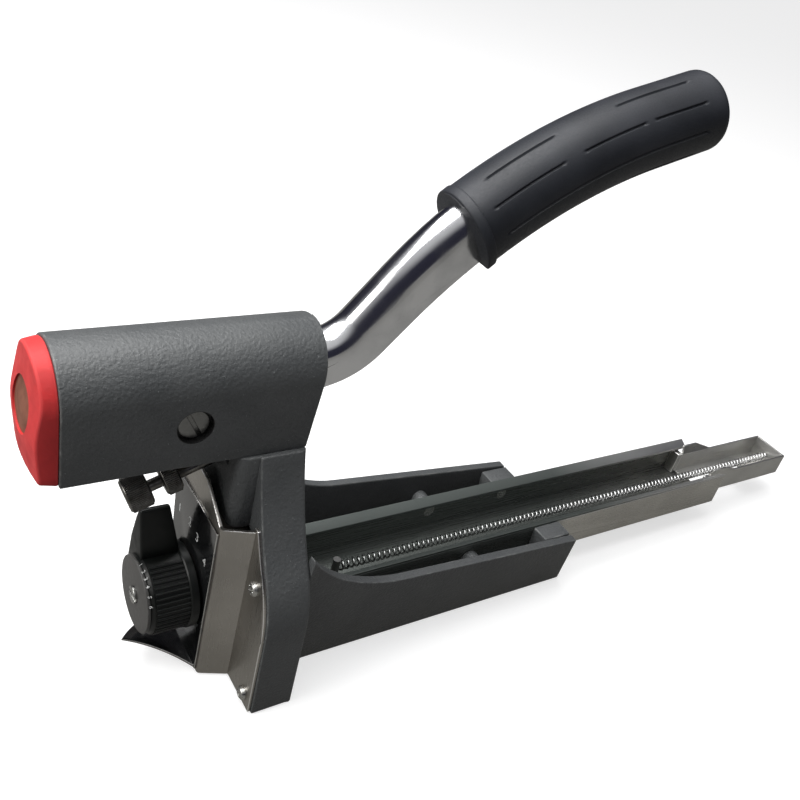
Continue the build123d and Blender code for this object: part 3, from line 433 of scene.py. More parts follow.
def screws_on_seats():
    """Tree that sets one screw on each seat, spun about the screw's axis by a seeded turn."""
    tree, given, out = sockets("screws on seats", [
        ("Screw", "Object"), ("Axis", "Vector"), ("Seed", "Int"), ("Material", "Material")])
    part = tree.nodes.new("GeometryNodeObjectInfo")
    turn = tree.nodes.new("FunctionNodeRandomValue")
    turn.inputs[3].default_value = math.pi
    spin = tree.nodes.new("FunctionNodeAxisAngleToRotation")
    place = tree.nodes.new("GeometryNodeInstanceOnPoints")
    tree.links.new(given.outputs["Screw"], part.inputs["Object"])
    tree.links.new(given.outputs["Seed"], turn.inputs["Seed"])
    tree.links.new(given.outputs["Axis"], spin.inputs["Axis"])
    tree.links.new(turn.outputs[1], spin.inputs["Angle"])
    tree.links.new(given.outputs["Geometry"], place.inputs["Points"])
    tree.links.new(part.outputs["Geometry"], place.inputs["Instance"])
    tree.links.new(spin.outputs["Rotation"], place.inputs["Rotation"])
    close_tree(tree, given, out, place.outputs["Instances"])
    return tree


def crossed_head(radius, rise, turn):
    """Domed pan head with a cross recess and a flat underside; its top looks along the turned +Z."""
    cells, dome_fall, arm_slope = 44, 0.92, 0.45
    arm_half, arm_reach, recess = 0.17 * radius, 0.62 * radius, 0.55 * rise
    bm = bmesh.new()
    rows = []
    for i in range(cells + 1):
        row = []
        for j in range(cells + 1):
            u, v = 2 * i / cells - 1, 2 * j / cells - 1
            x = radius * u * math.sqrt(1 - v * v / 2)
            y = radius * v * math.sqrt(1 - u * u / 2)
            out = min(1, math.hypot(x, y) / radius)
            z = rise * math.sqrt(max(0, 1 - dome_fall * out ** 4))
            for a, b in ((abs(x), abs(y)), (abs(y), abs(x))):
                if a < arm_half and b < arm_reach:
                    z = min(z, rise - recess * (1 - arm_slope * b / arm_reach))
            row.append(bm.verts.new((x, y, z)))
        rows.append(row)
    for i in range(cells):
        for j in range(cells):
            bm.faces.new((rows[i][j], rows[i + 1][j], rows[i + 1][j + 1], rows[i][j + 1]))
    rim = [e for e in bm.edges if len(e.link_faces) == 1]
    skirt = bmesh.ops.extrude_edge_only(bm, edges=rim)["geom"]
    for vert in [g for g in skirt if isinstance(g, bmesh.types.BMVert)]:
        vert.co.z = 0
    bmesh.ops.contextual_create(bm, geom=[g for g in skirt if isinstance(g, bmesh.types.BMEdge)
                                          and len(g.link_faces) == 1])
    bmesh.ops.recalc_face_normals(bm, faces=bm.faces)
    bmesh.ops.transform(bm, matrix=turn, verts=bm.verts)
    return bpy.data.objects.new("crossed head", plain_mesh(bm, "crossed head", 35))


seat_screws = screws_on_seats()
pan_screw = crossed_head(pan_radius, pan_rise, Matrix.Rotation(-math.pi / 2, 4, "Y"))
pan_seats = [(flange_front, side * y * mm, z * mm) for side in (1, -1) for y, z in pan_places]
settle(grown(seat_screws, "cover_pan_screws", {"Screw": pan_screw, "Axis": (1, 0, 0), "Seed": 4,
                                               "Material": zinc_steel}, pan_seats),
       "cover_pan_screws", "frame", "zinc_steel", zinc_steel, "cover_screws")

# Scale plate: black enamelled sheet under the knob, bent forward at its foot into a pointer.
# The enamel has rubbed to bare steel along the cut edges; plain white numbers show the depth.
plate_round, plate_sheet, spindle_inside = 0.28 * mm, 1.0 * mm, 9 * mm
plate_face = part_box("knob_spindle")[1].x - spindle_inside - plate_sheet
mark_height, print_depth = 6.5 * mm, 0.04 * mm
scale_marks = [("1", 15.4, 70.6), ("2", 3.6, 72.4), ("3", -5.1, 70.8), ("4", -14.6, 65.4)]
enamel_base = (0.007, 0.0075, 0.008)
enamel, tree, shader, coords = finish("black_enamel", enamel_base, 0, 0.12)
shader.inputs["IOR"].default_value = 2.6
rubbed = times(tree, rounds(tree), span(tree, mottle(tree, coords, 160, 4), 0.30, 0.5, 0.2, 1))
surface(tree, shader, tint(tree, rubbed, enamel_base, (0.62, 0.61, 0.59)),
        span(tree, mottle(tree, coords, 300, 4), 0.3, 0.7, 0.09, 0.2))
tree.links.new(rubbed, shader.inputs["Metallic"])
relief(tree, shader, mottle(tree, coords, 500, 2), 0.01 * mm, 0.2)
settle(rounded_copy("scale_plate", plate_round), "enamel_scale_plate", "frame", "black_enamel", enamel,
       "scale_plate")

white_base = (0.72, 0.73, 0.72)
white_print, tree, shader, coords = finish("white_printed_ink", white_base, 0, 0.5)
faded = span(tree, mottle(tree, coords, 900, 3), 0.35, 0.7, 0, 1)
surface(tree, shader, tint(tree, faded, white_base, (0.42, 0.43, 0.43)), span(tree, faded, 0, 1, 0.45, 0.62))
relief(tree, shader, faded, 0.01 * mm, 0.2)


def printed(marks, name):
    """One thin mesh of printed characters, each given as (text, height, placing matrix)."""
    whole = bmesh.new()
    for text, height, place in marks:
        letter = bpy.data.curves.new(name, "FONT")
        letter.body = text
        letter.size = height
        letter.align_x = "CENTER"
        letter.align_y = "CENTER"
        letter.extrude = print_depth
        holder = bpy.data.objects.new(name, letter)
        flat = bpy.data.meshes.new_from_object(holder)
        flat.transform(place)
        whole.from_mesh(flat)
        bpy.data.objects.remove(holder)
    mesh = bpy.data.meshes.new(name)
    whole.to_mesh(mesh)
    whole.free()
    return mesh


facing_front = Matrix(((0, 0, -1, 0), (-1, 0, 0, 0), (0, 1, 0, 0), (0, 0, 0, 1)))
settle(printed([(text, mark_height, Matrix.Translation((plate_face, y * mm, z * mm)) @ facing_front)
                for text, y, z in scale_marks], "scale_numbers"),
       "scale_numbers", "frame", "black_enamel", white_print)

# Depth knob: black moulded barrel with a skirt, ribbed round its side, and a narrow pointer fin on top.
# A grey disc covers its front, held by a slotted screw; white numbers run along the front rim.
knob_axis = 40 * mm
knob_front, knob_back = -49 * mm, -28 * mm
barrel_radius, barrel_rim = 18.4 * mm, 1.5 * mm
skirt_radius, skirt_front = 19.6 * mm, -32 * mm
skirt_rim, skirt_back_rim = 0.5 * mm, 0.4 * mm
fin_outline = [(1.2, 57.0), (5.9, 81.6), (8.4, 81.6), (11.0, 75.5), (15.2, 62.0), (17.6, 47.0), (8.0, 45.0)]
fin_front, fin_back, fin_slope, fin_round = -48.4 * mm, -31 * mm, 0.19, 1.1 * mm
rib_front, rib_back = knob_front + 2.2 * mm, skirt_front
rib_count, rib_radius, rib_sunk = 43, 0.75 * mm, 0.1 * mm
rib_first, rib_spread = math.radians(-256), math.radians(308)
disc_round, screw_round = 0.4 * mm, 0.25 * mm
rim_angles = (93, 105, 116, 127, 141, 155)
rim_height, rim_inset, rim_ahead, rim_lift = 2.4 * mm, 0.55 * mm, 0.1 * mm, 0.15 * mm
lean_out, lean_forward = 0.75, 0.66


def close_skin(bm, rings, ends):
    """Faces between rings of as many points each, and a fan to a point at either end."""
    around = len(rings[0])
    for a, b in zip(rings, rings[1:]):
        for k in range(around):
            bm.faces.new((a[k], b[k], b[(k + 1) % around], a[(k + 1) % around]))
    for ring, end in zip((rings[0], rings[-1]), ends):
        middle = bm.verts.new(end)
        for k in range(around):
            bm.faces.new((ring[k], ring[(k + 1) % around], middle))
    bmesh.ops.recalc_face_normals(bm, faces=bm.faces)


def turned_along_x(stations, around, centre_z):
    """Closed round body through stations of (x, radius), on an axis along X."""
    bm = bmesh.new()
    rings = []
    for x, radius in stations:
        angles = [2 * math.pi * k / around for k in range(around)]
        rings.append([bm.verts.new((x, radius * math.cos(angle), centre_z + radius * math.sin(angle)))
                      for angle in angles])
    close_skin(bm, rings, [(x, 0, centre_z) for x in (stations[0][0], stations[-1][0])])
    return plain_mesh(bm, "turned body", 32)


def prism(bm, front, back):
    """Faces of a prism between two outlines of as many points."""
    bm.faces.new(front)
    bm.faces.new(back[::-1])
    for k in range(len(front)):
        bm.faces.new((front[k], back[k], back[k - 1], front[k - 1]))
    bmesh.ops.recalc_face_normals(bm, faces=bm.faces)


stations = [(knob_front, barrel_radius - barrel_rim), (knob_front + barrel_rim, barrel_radius),
            (skirt_front, barrel_radius), (skirt_front, skirt_radius - skirt_rim),
            (skirt_front + skirt_rim, skirt_radius), (knob_back - skirt_back_rim, skirt_radius),
            (knob_back, skirt_radius - skirt_back_rim)]
plastic_base = (0.0035, 0.0045, 0.004)
black_plastic, tree, shader, coords = finish("black_moulded_plastic", plastic_base, 0, 0.4)
shader.inputs["Specular IOR Level"].default_value = 0.3
dust = span(tree, mottle(tree, coords, 160, 5), 0.5, 0.8, 0, 0.5)
surface(tree, shader, tint(tree, dust, plastic_base, (0.009, 0.010, 0.010)),
        span(tree, mottle(tree, coords, 240, 4), 0.3, 0.7, 0.32, 0.46))
relief(tree, shader, mottle(tree, coords, 900, 2), 0.03 * mm, 0.25)
settle(turned_along_x(stations, 240, knob_axis), "knob_body", "dial", "black_plastic", black_plastic,
       "depth_knob")

bm = bmesh.new()
front = [bm.verts.new((fin_front, y * mm, z * mm)) for y, z in fin_outline]
back = [bm.verts.new((fin_back - fin_slope * (z * mm - knob_axis - barrel_radius), y * mm, z * mm))
        for y, z in fin_outline]
prism(bm, front, back)
rounded(bm, bm.edges[:], fin_round, 4, True)
settle(plain_mesh(bm, "knob_fin", crease), "knob_fin", "dial", "black_plastic", black_plastic)


def ribs_round_axis():
    """Tree that sets round-nosed ribs about an axis along X, over part of the circle."""
    tree, given, out = sockets("ribs round an axis", [
        ("Count", "Int"), ("Radius", "Float"), ("Rib radius", "Float"), ("Length", "Float"),
        ("First angle", "Float"), ("Spread", "Float"), ("Centre", "Vector"), ("Material", "Material")])
    line = tree.nodes.new("GeometryNodeMeshLine")
    line.mode = "OFFSET"
    line.inputs["Offset"].default_value = (0, 0, 0)
    index = tree.nodes.new("GeometryNodeInputIndex")
    rod = tree.nodes.new("GeometryNodeMeshCylinder")
    rod.inputs["Vertices"].default_value = 8
    lay = tree.nodes.new("GeometryNodeTransform")
    lay.inputs["Rotation"].default_value = (0, math.pi / 2, 0)
    spot = tree.nodes.new("ShaderNodeCombineXYZ")
    move = tree.nodes.new("GeometryNodeSetPosition")
    place = tree.nodes.new("GeometryNodeInstanceOnPoints")
    shift = tree.nodes.new("GeometryNodeTransform")
    smooth = tree.nodes.new("GeometryNodeSetShadeSmooth")
    link = tree.links.new
    steps = reckon(tree, "SUBTRACT", given.outputs["Count"], 1)
    share = reckon(tree, "DIVIDE", index.outputs["Index"], steps)
    angle = reckon(tree, "MULTIPLY_ADD", share, given.outputs["Spread"], given.outputs["First angle"])
    for operation, axis in (("COSINE", "Y"), ("SINE", "Z")):
        link(times(tree, reckon(tree, operation, angle), given.outputs["Radius"]), spot.inputs[axis])
    link(given.outputs["Count"], line.inputs["Count"])
    link(line.outputs["Mesh"], move.inputs["Geometry"])
    link(spot.outputs["Vector"], move.inputs["Position"])
    link(given.outputs["Rib radius"], rod.inputs["Radius"])
    link(given.outputs["Length"], rod.inputs["Depth"])
    link(rod.outputs["Mesh"], lay.inputs["Geometry"])
    link(move.outputs["Geometry"], place.inputs["Points"])
    link(lay.outputs["Geometry"], place.inputs["Instance"])
    link(place.outputs["Instances"], shift.inputs["Geometry"])
    link(given.outputs["Centre"], shift.inputs["Translation"])
    link(shift.outputs["Geometry"], smooth.inputs["Geometry"])
    close_tree(tree, given, out, smooth.outputs["Geometry"])
    return tree


rib_ring = ribs_round_axis()
ribs = grown(rib_ring, "knob_ribs", {
    "Count": rib_count, "Radius": barrel_radius - rib_sunk, "Rib radius": rib_radius,
    "Length": rib_back - rib_front, "First angle": rib_first, "Spread": rib_spread,
    "Centre": ((rib_front + rib_back) / 2, 0, knob_axis), "Material": black_plastic})
ribs.set_sharp_from_angle(angle=math.radians(50))
settle(ribs, "knob_ribs", "dial", "black_plastic", black_plastic)

disc_base = (0.050, 0.049, 0.047)
grey_disc, tree, shader, coords = finish("grey_knob_disc", disc_base, 0, 0.48)
turned = mottle(tree, coords, 500, 4)
surface(tree, shader, tint(tree, span(tree, turned, 0.35, 0.7, 0, 1), disc_base, (0.075, 0.073, 0.070)),
        span(tree, turned, 0.3, 0.7, 0.40, 0.56))
relief(tree, shader, turned, 0.03 * mm, 0.3)
settle(rounded_copy("knob_face", disc_round), "knob_front_disc", "dial", "grey_disc", grey_disc, "knob_face")
settle(rounded_copy("knob_screw", screw_round), "knob_slotted_screw", "dial", "zinc_steel", zinc_steel,
       "knob_screw")
rim_marks = []
for number, degree in enumerate(rim_angles, 1):
    turn = math.radians(degree)
    out = Vector((0, math.cos(turn), math.sin(turn)))
    normal = (out * lean_out + Vector((-1, 0, 0)) * lean_forward).normalized()
    side = Vector((0, -math.sin(turn), math.cos(turn)))
    upward = normal.cross(side)
    spot = Vector((knob_front - rim_ahead, 0, knob_axis)) + out * (barrel_radius - rim_inset)
    place = Matrix((side, upward, normal)).transposed().to_4x4()
    place.translation = spot + normal * rim_lift
    rim_marks.append((str(number), rim_height, place))
settle(printed(rim_marks, "rim_numbers"), "rim_numbers", "dial", "black_plastic", white_print)
dress(hard_steel, "knob_spindle", "stop_cam")

# Stop screw under the head with its lock nut: dark nickel-plated steel with straight knurls.
# The screw limits how far the lever comes back; the nut locks it against the neck's web.
stop_middle = Vector((-53, 0, 98.5)) * mm
stop_tilt = math.radians(20)
knurl_chamfer, knurl_tooth = 0.8 * mm, 0.32 * mm
stop_radius, stop_length, stop_knurls = 7.5 * mm, 10 * mm, 56
shank_radius, shank_length = 2.5 * mm, 33 * mm
nut_place, nut_radius, nut_length, nut_knurls = 14 * mm, 7 * mm, 7 * mm, 52
nickel_base = (0.20, 0.195, 0.185)
dark_nickel, tree, shader, coords = finish("dark_nickel_plate", nickel_base, 1, 0.34)
stain = span(tree, mottle(tree, coords, 260, 5), 0.35, 0.7, 0, 1)
surface(tree, shader, tint(tree, stain, nickel_base, (0.10, 0.095, 0.085)),
        span(tree, stain, 0, 1, 0.26, 0.48))
relief(tree, shader, mottle(tree, coords, 900, 2), 0.03 * mm, 0.3)


def knurled(name, body, node, along, radius, length, count, shank=None):
    """Chamfered round body with straight knurls, at a place along the stop screw's axis."""
    x0, x1 = along - length / 2, along + length / 2
    core = radius - knurl_tooth
    stations = [(x0, core - knurl_chamfer), (x0 + knurl_chamfer, core),
                (x1 - knurl_chamfer, core), (x1, core - knurl_chamfer)]
    if shank:
        stations += [(x1, shank[0]), (x1 + shank[1], shank[0])]
    bm = bmesh.new()
    bm.from_mesh(turned_along_x(stations, 64, 0))
    bm.from_mesh(grown(rib_ring, name, {
        "Count": count, "Radius": core, "Rib radius": knurl_tooth, "Length": length - 2 * knurl_chamfer,
        "First angle": 0.0, "Spread": 2 * math.pi * (count - 1) / count, "Centre": (along, 0, 0),
        "Material": dark_nickel}))
    bmesh.ops.transform(bm, matrix=Matrix.Translation(stop_middle) @ Matrix.Rotation(-stop_tilt, 4, "Y"),
                        verts=bm.verts)
    settle(plain_mesh(bm, name, 50), name, body, "dark_nickel", dark_nickel, node)


knurled("knurled_stop_screw", "stop", "stop_screw", 0, stop_radius, stop_length, stop_knurls,
        (shank_radius, shank_length))
knurled("knurled_lock_nut", "nut", "lock_nut", nut_place, nut_radius, nut_length, nut_knurls)

# Lever: one pressed steel U with a rolled top, polished and chromed, turning on a bronze bush.
# The slotted pivot pin goes through the head and is held by its nut on the far side.
collar_place, collar_angle = Vector((76.56, 0, 208.37)) * mm, math.radians(39.2)
lever_round, lever_skirt, back_raise, raise_run = 0.6 * mm, 10.5 * mm, 3.2 * mm, 70 * mm
pin_round, pin_sunk, slot_turn = 0.25 * mm, 1.9 * mm, math.radians(62)
chrome_base = (0.74, 0.745, 0.76)
chrome, tree, shader, coords = finish("polished_chrome", chrome_base, 1, 0.1)
haze = span(tree, mottle(tree, coords, 60, 5), 0.4, 0.75, 0, 1)
scuff = mottle(tree, coords, 1200, 3, (0.08, 1, 1))
surface(tree, shader, tint(tree, haze, chrome_base, (0.58, 0.585, 0.60)), span(tree, haze, 0, 1, 0.12, 0.24))
relief(tree, shader, scuff, 0.012 * mm, 0.25)


def deepened_lever():
    """The lever's rounded copy, its back raised a little before the grip, its flat sides kept crisp."""
    mesh = rounded_copy("lever", lever_round)
    way = Vector((math.cos(collar_angle), 0, math.sin(collar_angle)))
    over = Vector((-way.z, 0, way.x))
    for vert in mesh.vertices:
        along = (vert.co - collar_place).dot(way)
        height = (vert.co - collar_place).dot(over)
        run = min(max(1 + along / raise_run, 0), 1)
        part = min(max((height + lever_skirt) / (2 * lever_skirt), 0), 1)
        vert.co += over * back_raise * part * run * run * (3 - 2 * run)
    flat, upright = {}, 0.999
    for face in mesh.polygons:
        for key in face.edge_keys:
            flat.setdefault(key, []).append(abs(face.normal.y) > upright)
    for edge in mesh.edges:
        if any(flat[edge.key]) and not all(flat[edge.key]):
            edge.use_edge_sharp = True
    return mesh


settle(deepened_lever(), "chromed_lever", "handle", "chromed_steel", chrome, "lever")
bronze_base = (0.42, 0.25, 0.12)
bronze, tree, shader, coords = finish("bearing_bronze", bronze_base, 1, 0.35)
oiled = span(tree, mottle(tree, coords, 200, 4), 0.35, 0.7, 0, 1)
surface(tree, shader, tint(tree, oiled, bronze_base, (0.22, 0.13, 0.06)), span(tree, oiled, 0, 1, 0.28, 0.5))
relief(tree, shader, oiled, 0.02 * mm, 0.3)
dress(bronze, "pivot_bush")
dress(hard_steel, "spring_pin")
black_oxide = ground_steel("black_oxide_steel", (0.22, 0.22, 0.215), 0.34, (1, 1, 1))
for node, name, way in (("pivot_pin", "slotted_pivot_pin", 1), ("pivot_nut", "pivot_sleeve_nut", -1)):
    mesh = rounded_copy(node, pin_round)
    mesh.transform(Matrix.Translation(pivot + Vector((0, way * pin_sunk, 0)))
                   @ Matrix.Rotation(slot_turn, 4, "Y") @ Matrix.Translation(-pivot))
    settle(mesh, name, "frame", "hard_steel", black_oxide, node)

# Grip: black rubber sleeve moulded to the lever's bend and pushed over its end.
# A flat-bottomed collar stops the hand; nine rows of thin broken grooves run along it.
grip_angle = math.radians(17.2)
bend_radius, end_run = 247 * mm, 34.5 * mm
grip_radius, end_round = 17.7 * mm, 4.2 * mm
collar_length, collar_radius, collar_shift = 4.5 * mm, 18.6 * mm, -0.6 * mm
collar_flat, collar_lead, collar_lean = -11.1 * mm, -2.35 * mm, 0.15
collar_round, collar_steps = 0.7 * mm, 60
groove_depth, groove_half, groove_reach, groove_fade = 0.9 * mm, 0.55 * mm, 0.88 * mm, 1.2
row_first, row_step = 10, 40
last_turn = math.radians(360 + row_first - row_step / 2)
bend_run = bend_radius * (collar_angle - grip_angle)
grip_length = bend_run + end_run
broken_runs = [[(13, 47), (75, 114)], [(9, 43), (52, 83), (87, 116)], [(9, 116)], [(11, 62), (70, 114)]]
ring_step, ring_points, end_rings = 1.0 * mm, 288, 6


def grip_frame(along):
    """Point on the grip's middle line and the direction of the line there."""
    angle = collar_angle - min(along, bend_run) / bend_radius
    bend_middle = collar_place + bend_radius * Vector((math.sin(collar_angle), 0, -math.cos(collar_angle)))
    point = bend_middle + bend_radius * Vector((-math.sin(angle), 0, math.cos(angle)))
    way = Vector((math.cos(angle), 0, math.sin(angle)))
    return point + way * max(0, along - bend_run), way


def groove_cut(along, turn):
    """Depth of the groove at a place on the grip; turn 0 is on top, a quarter turn is the near side."""
    row = round((math.degrees(turn) - row_first) / row_step)
    aside = abs(math.radians(row_first + row_step * row) - turn) * grip_radius
    if aside > groove_reach:
        return 0
    runs = broken_runs[row % len(broken_runs)]
    ends = max(min((along / mm - a) / groove_fade, (b - along / mm) / groove_fade, 1) for a, b in runs)
    return groove_depth * max(0, ends) * math.exp(-(aside / groove_half) ** 4)


bm = bmesh.new()
near = Vector((0, -1, 0))
straight_end = grip_length - end_round
rings = []
marks = [ring_step * k for k in range(math.ceil(straight_end / ring_step))]
marks += [grip_length - end_round * (1 - math.sin(math.pi / 2 * k / end_rings)) for k in range(end_rings + 1)]
for along in marks:
    point, way = grip_frame(along)
    over = Vector((-way.z, 0, way.x))
    lost = max(0, along - straight_end)
    outer = grip_radius - end_round + math.sqrt(max(0, end_round ** 2 - lost ** 2))
    ring = []
    for k in range(ring_points):
        turn = 2 * math.pi * k / ring_points
        r = outer - groove_cut(along, turn if turn < last_turn else turn - 2 * math.pi)
        ring.append(bm.verts.new(point + over * r * math.cos(turn) + near * r * math.sin(turn)))
    rings.append(ring)
close_skin(bm, rings, [grip_frame(along)[0] for along in (marks[0], marks[-1])])
sleeve = plain_mesh(bm, "rubber_sleeve", 40)
rubber_base = (0.0095, 0.0110, 0.0150)
rubber, tree, shader, coords = finish("black_grip_rubber", rubber_base, 0, 0.52)
shader.inputs["Specular IOR Level"].default_value = 0.42
bloom = span(tree, mottle(tree, coords, 38, 5), 0.4, 0.72, 0, 1)
pores = mottle(tree, coords, 1400, 3)
surface(tree, shader, tint(tree, bloom, rubber_base, (0.020, 0.022, 0.028)),
        span(tree, pores, 0.3, 0.7, 0.44, 0.62))
relief(tree, shader, pores, 0.06 * mm, 0.4)
settle(sleeve, "rubber_grip", "handle", "black_rubber", rubber, "grip")

bm = bmesh.new()
point, way = grip_frame(0)
over = Vector((-way.z, 0, way.x))
first = math.asin(collar_flat / collar_radius)
sweep = math.pi - 2 * first
turns = [first + sweep * k / collar_steps for k in range(collar_steps + 1)]
outline = [(collar_shift + collar_radius * math.cos(turn), collar_radius * math.sin(turn))
           for turn in turns]
front = [bm.verts.new(point + way * (collar_lead + collar_lean * z) - near * y + over * z)
         for y, z in outline]
back = [bm.verts.new(vert.co + way * collar_length) for vert in front]
prism(bm, front, back)
rounded(bm, [e for e in bm.edges if e.calc_face_angle() > math.radians(35)], collar_round, 3, True)
settle(plain_mesh(bm, "rubber_collar", 40), "rubber_collar", "handle", "black_rubber", rubber)

# Driver inside the leg: forged carrier on its pin, the thin blade riveted to it, and the cam plate
# with its slanted slots. All hardened steel, ground and lightly oiled.
dress(hard_steel, "driver_carrier", "driver_blade", "blade_rivets", "drive_pin", "cam_plate")

# Clinchers: two hardened claws that swing under the carton flap and fold the staple's legs.
# Each turns on its own pin in the leg's foot, in the same ground steel as the driver.
dress(hard_steel, "left_clincher", "right_clincher")

# Magazine: stainless channel folded from sheet, a sloping lip strip welded along each wall.
# It is screwed between the wings' bosses and lugs; the inside is darkened by oil and staples and by painted
# shade, and the lips are painted darker towards the front.
channel_inner, channel_floor = 18.7 * mm, 16.6 * mm
lip_bright = 210 * mm, 335 * mm
wing_end, wing_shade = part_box("left_wing")[1].x, 12 * mm
darkening_edge = 0.1 * mm
along_grain = (0.02, 1, 1)


def split(tree, coords):
    """The three coordinates as values."""
    node = tree.nodes.new("ShaderNodeSeparateXYZ")
    tree.links.new(coords, node.inputs["Vector"])
    return node.outputs["X"], node.outputs["Y"], node.outputs["Z"]


def oily_trough(tree, coords):
    """Share of oil and painted shade inside, less towards the rear, and of painted shade outside, as far as
    the wings reach.
    """
    x, y, z = split(tree, coords)
    width = reckon(tree, "ABSOLUTE", y)
    between = span(tree, width, channel_inner, channel_inner + darkening_edge, 1, 0)
    above = span(tree, z, channel_floor - darkening_edge, channel_floor, 0, 1)
    inside = times(tree, times(tree, between, above), span(tree, x, *lip_bright, 0.90, 0.5))
    # Painted shade on the outer walls between the wings.
    beside = span(tree, width, channel_inner, channel_inner + darkening_edge, 0, 1)
    outside = times(tree, beside, span(tree, x, wing_end - wing_shade, wing_end, 0.93, 0))
    return reckon(tree, "MAXIMUM", inside, outside)


def oily_lip(tree, coords):
    """Share of darkening on the lips: full towards the front, none towards the rear."""
    return span(tree, split(tree, coords)[0], *lip_bright, 0.97, 0.0)


# The channel's steel carries old oil and painted shade.
channel_steel = brushed_stainless("oiled_and_shaded_channel_stainless", along_grain, (0.56, 0.545, 0.51), 0.28,
                                  oily_trough)
# The lips are painted darker towards the front.
lip_steel = brushed_stainless("lip_stainless_darker_forward", along_grain, (0.78, 0.78, 0.77), 0.36, oily_lip)
settle(rounded_copy("magazine_channel", sheet_round), "magazine_sheet", "frame", "stainless_sheet",
       channel_steel, "magazine_channel")
settle(rounded_copy("magazine_rails", sheet_round), "magazine_lips", "frame", "stainless_sheet",
       lip_steel, "magazine_rails")
dress(zinc_steel, "magazine_screws")
dress(black_oxide, "spring_post")

# Wings: two leaning cast plates beside the magazine, bolted to the leg's back.
# Same sandy grey paint as the leg, with painted shade on the side of the magazine, where a boss and a rear
# lug take the magazine's screws.


def sooty_side(tree, coords):
    """Share of painted shade on the faces that look towards the magazine."""
    facing = tree.nodes.new("ShaderNodeTexCoord").outputs["Normal"]
    inward = times(tree, split(tree, coords)[1], split(tree, facing)[1])
    return span(tree, inward, -20 * mm, -5 * mm, 0.6, 0)


# The wings' paint has painted shade on their faces towards the magazine.
wing_paint = casting_paint("wing_casting_paint", sooty_side)
for side in ("left_wing", "right_wing"):
    settle(rounded_copy(side, casting_round), side + "_casting", "frame", "grey_paint", wing_paint, side)
dress(zinc_steel, "wing_bolts")

# Pusher: bright stainless trough with flared ears that slides in the magazine.
# Its head presses the staples forward; the long spring lies in the trough.
trough_round, block_round = 0.12 * mm, 0.4 * mm
slide_steel = brushed_stainless("bright_slide_stainless", along_grain, (0.60, 0.595, 0.575), 0.32)
settle(rounded_copy("pusher_slide", trough_round), "pusher_trough", "pusher", "stainless_sheet",
       slide_steel, "pusher_slide")
settle(rounded_copy("pusher_head", block_round), "pusher_head_block", "pusher", "stainless_sheet",
       slide_steel, "pusher_head")

# Springs: close-wound bright wire. The long one draws the pusher forward from its post on the
# magazine's floor, and the short one inside the head lifts the lever.
end_gap = 0.5 * mm
pusher_turns, pusher_coil_radius, pusher_wire, pusher_run = 113.0, 2.1 * mm, 0.62 * mm, 307 * mm
return_turns, return_coil_radius, return_wire = 14.0, 3.6 * mm, 0.6 * mm
dull_run = 60 * mm, 300 * mm


def wound_spring():
    """Tree that winds round wire along X from a start point."""
    tree, given, out = sockets("wound spring", [
        ("Turns", "Float"), ("Length", "Float"), ("Radius", "Float"), ("Wire", "Float"),
        ("Start", "Vector"), ("Material", "Material")])
    spiral = tree.nodes.new("GeometryNodeCurveSpiral")
    spiral.inputs["Resolution"].default_value = 14
    wire = tree.nodes.new("GeometryNodeCurvePrimitiveCircle")
    wire.inputs["Resolution"].default_value = 7
    tube = tree.nodes.new("GeometryNodeCurveToMesh")
    tube.inputs["Fill Caps"].default_value = True
    lay = tree.nodes.new("GeometryNodeTransform")
    lay.inputs["Rotation"].default_value = (0, math.pi / 2, 0)
    smooth = tree.nodes.new("GeometryNodeSetShadeSmooth")
    link = tree.links.new
    link(given.outputs["Turns"], spiral.inputs["Rotations"])
    link(given.outputs["Radius"], spiral.inputs["Start Radius"])
    link(given.outputs["Radius"], spiral.inputs["End Radius"])
    link(given.outputs["Length"], spiral.inputs["Height"])
    link(given.outputs["Wire"], wire.inputs["Radius"])
    link(spiral.outputs["Curve"], tube.inputs["Curve"])
    link(wire.outputs["Curve"], tube.inputs["Profile Curve"])
    link(tube.outputs["Mesh"], lay.inputs["Geometry"])
    link(given.outputs["Start"], lay.inputs["Translation"])
    link(lay.outputs["Geometry"], smooth.inputs["Geometry"])
    close_tree(tree, given, out, smooth.outputs["Geometry"])
    return tree


spring_base = (0.62, 0.62, 0.62)
spring_wire, tree, shader, coords = finish("bright_spring_wire", spring_base, 1, 0.26)
dull = span(tree, split(tree, coords)[0], *dull_run, 1, 0)
surface(tree, shader, tint(tree, dull, spring_base, (0.30, 0.31, 0.30)),
        span(tree, mottle(tree, coords, 300, 3), 0.3, 0.7, 0.2, 0.36))
relief(tree, shader, mottle(tree, coords, 2000, 2), 0.01 * mm, 0.2)
winding = wound_spring()


def coil_of(name, low, high, turns, radius, wire):
    """Wound mesh between two ends of a CAD spring's box, on its middle line."""
    return grown(winding, name, {"Turns": turns, "Length": high.x - low.x - 2 * end_gap, "Radius": radius,
                                 "Wire": wire, "Start": (low.x + end_gap, 0, (low.z + high.z) / 2),
                                 "Material": spring_wire})


low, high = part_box("pusher_spring")
coil_mesh = coil_of("pusher_coil", low, high, pusher_turns, pusher_coil_radius, pusher_wire)
coil = settle(coil_mesh, "pusher_coil", "frame", "spring_wire", spring_wire, "pusher_spring")
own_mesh(coil)
low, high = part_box("return_spring")
coil_mesh = coil_of("return_coil", low, high, return_turns, return_coil_radius, return_wire)
mesh_piece = bpy.data.objects.new("return_coil", coil_mesh)
bpy.context.scene.collection.objects.link(mesh_piece)
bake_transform(mesh_piece)
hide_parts("return_spring")
dress(hard_steel, "spring_anchor")

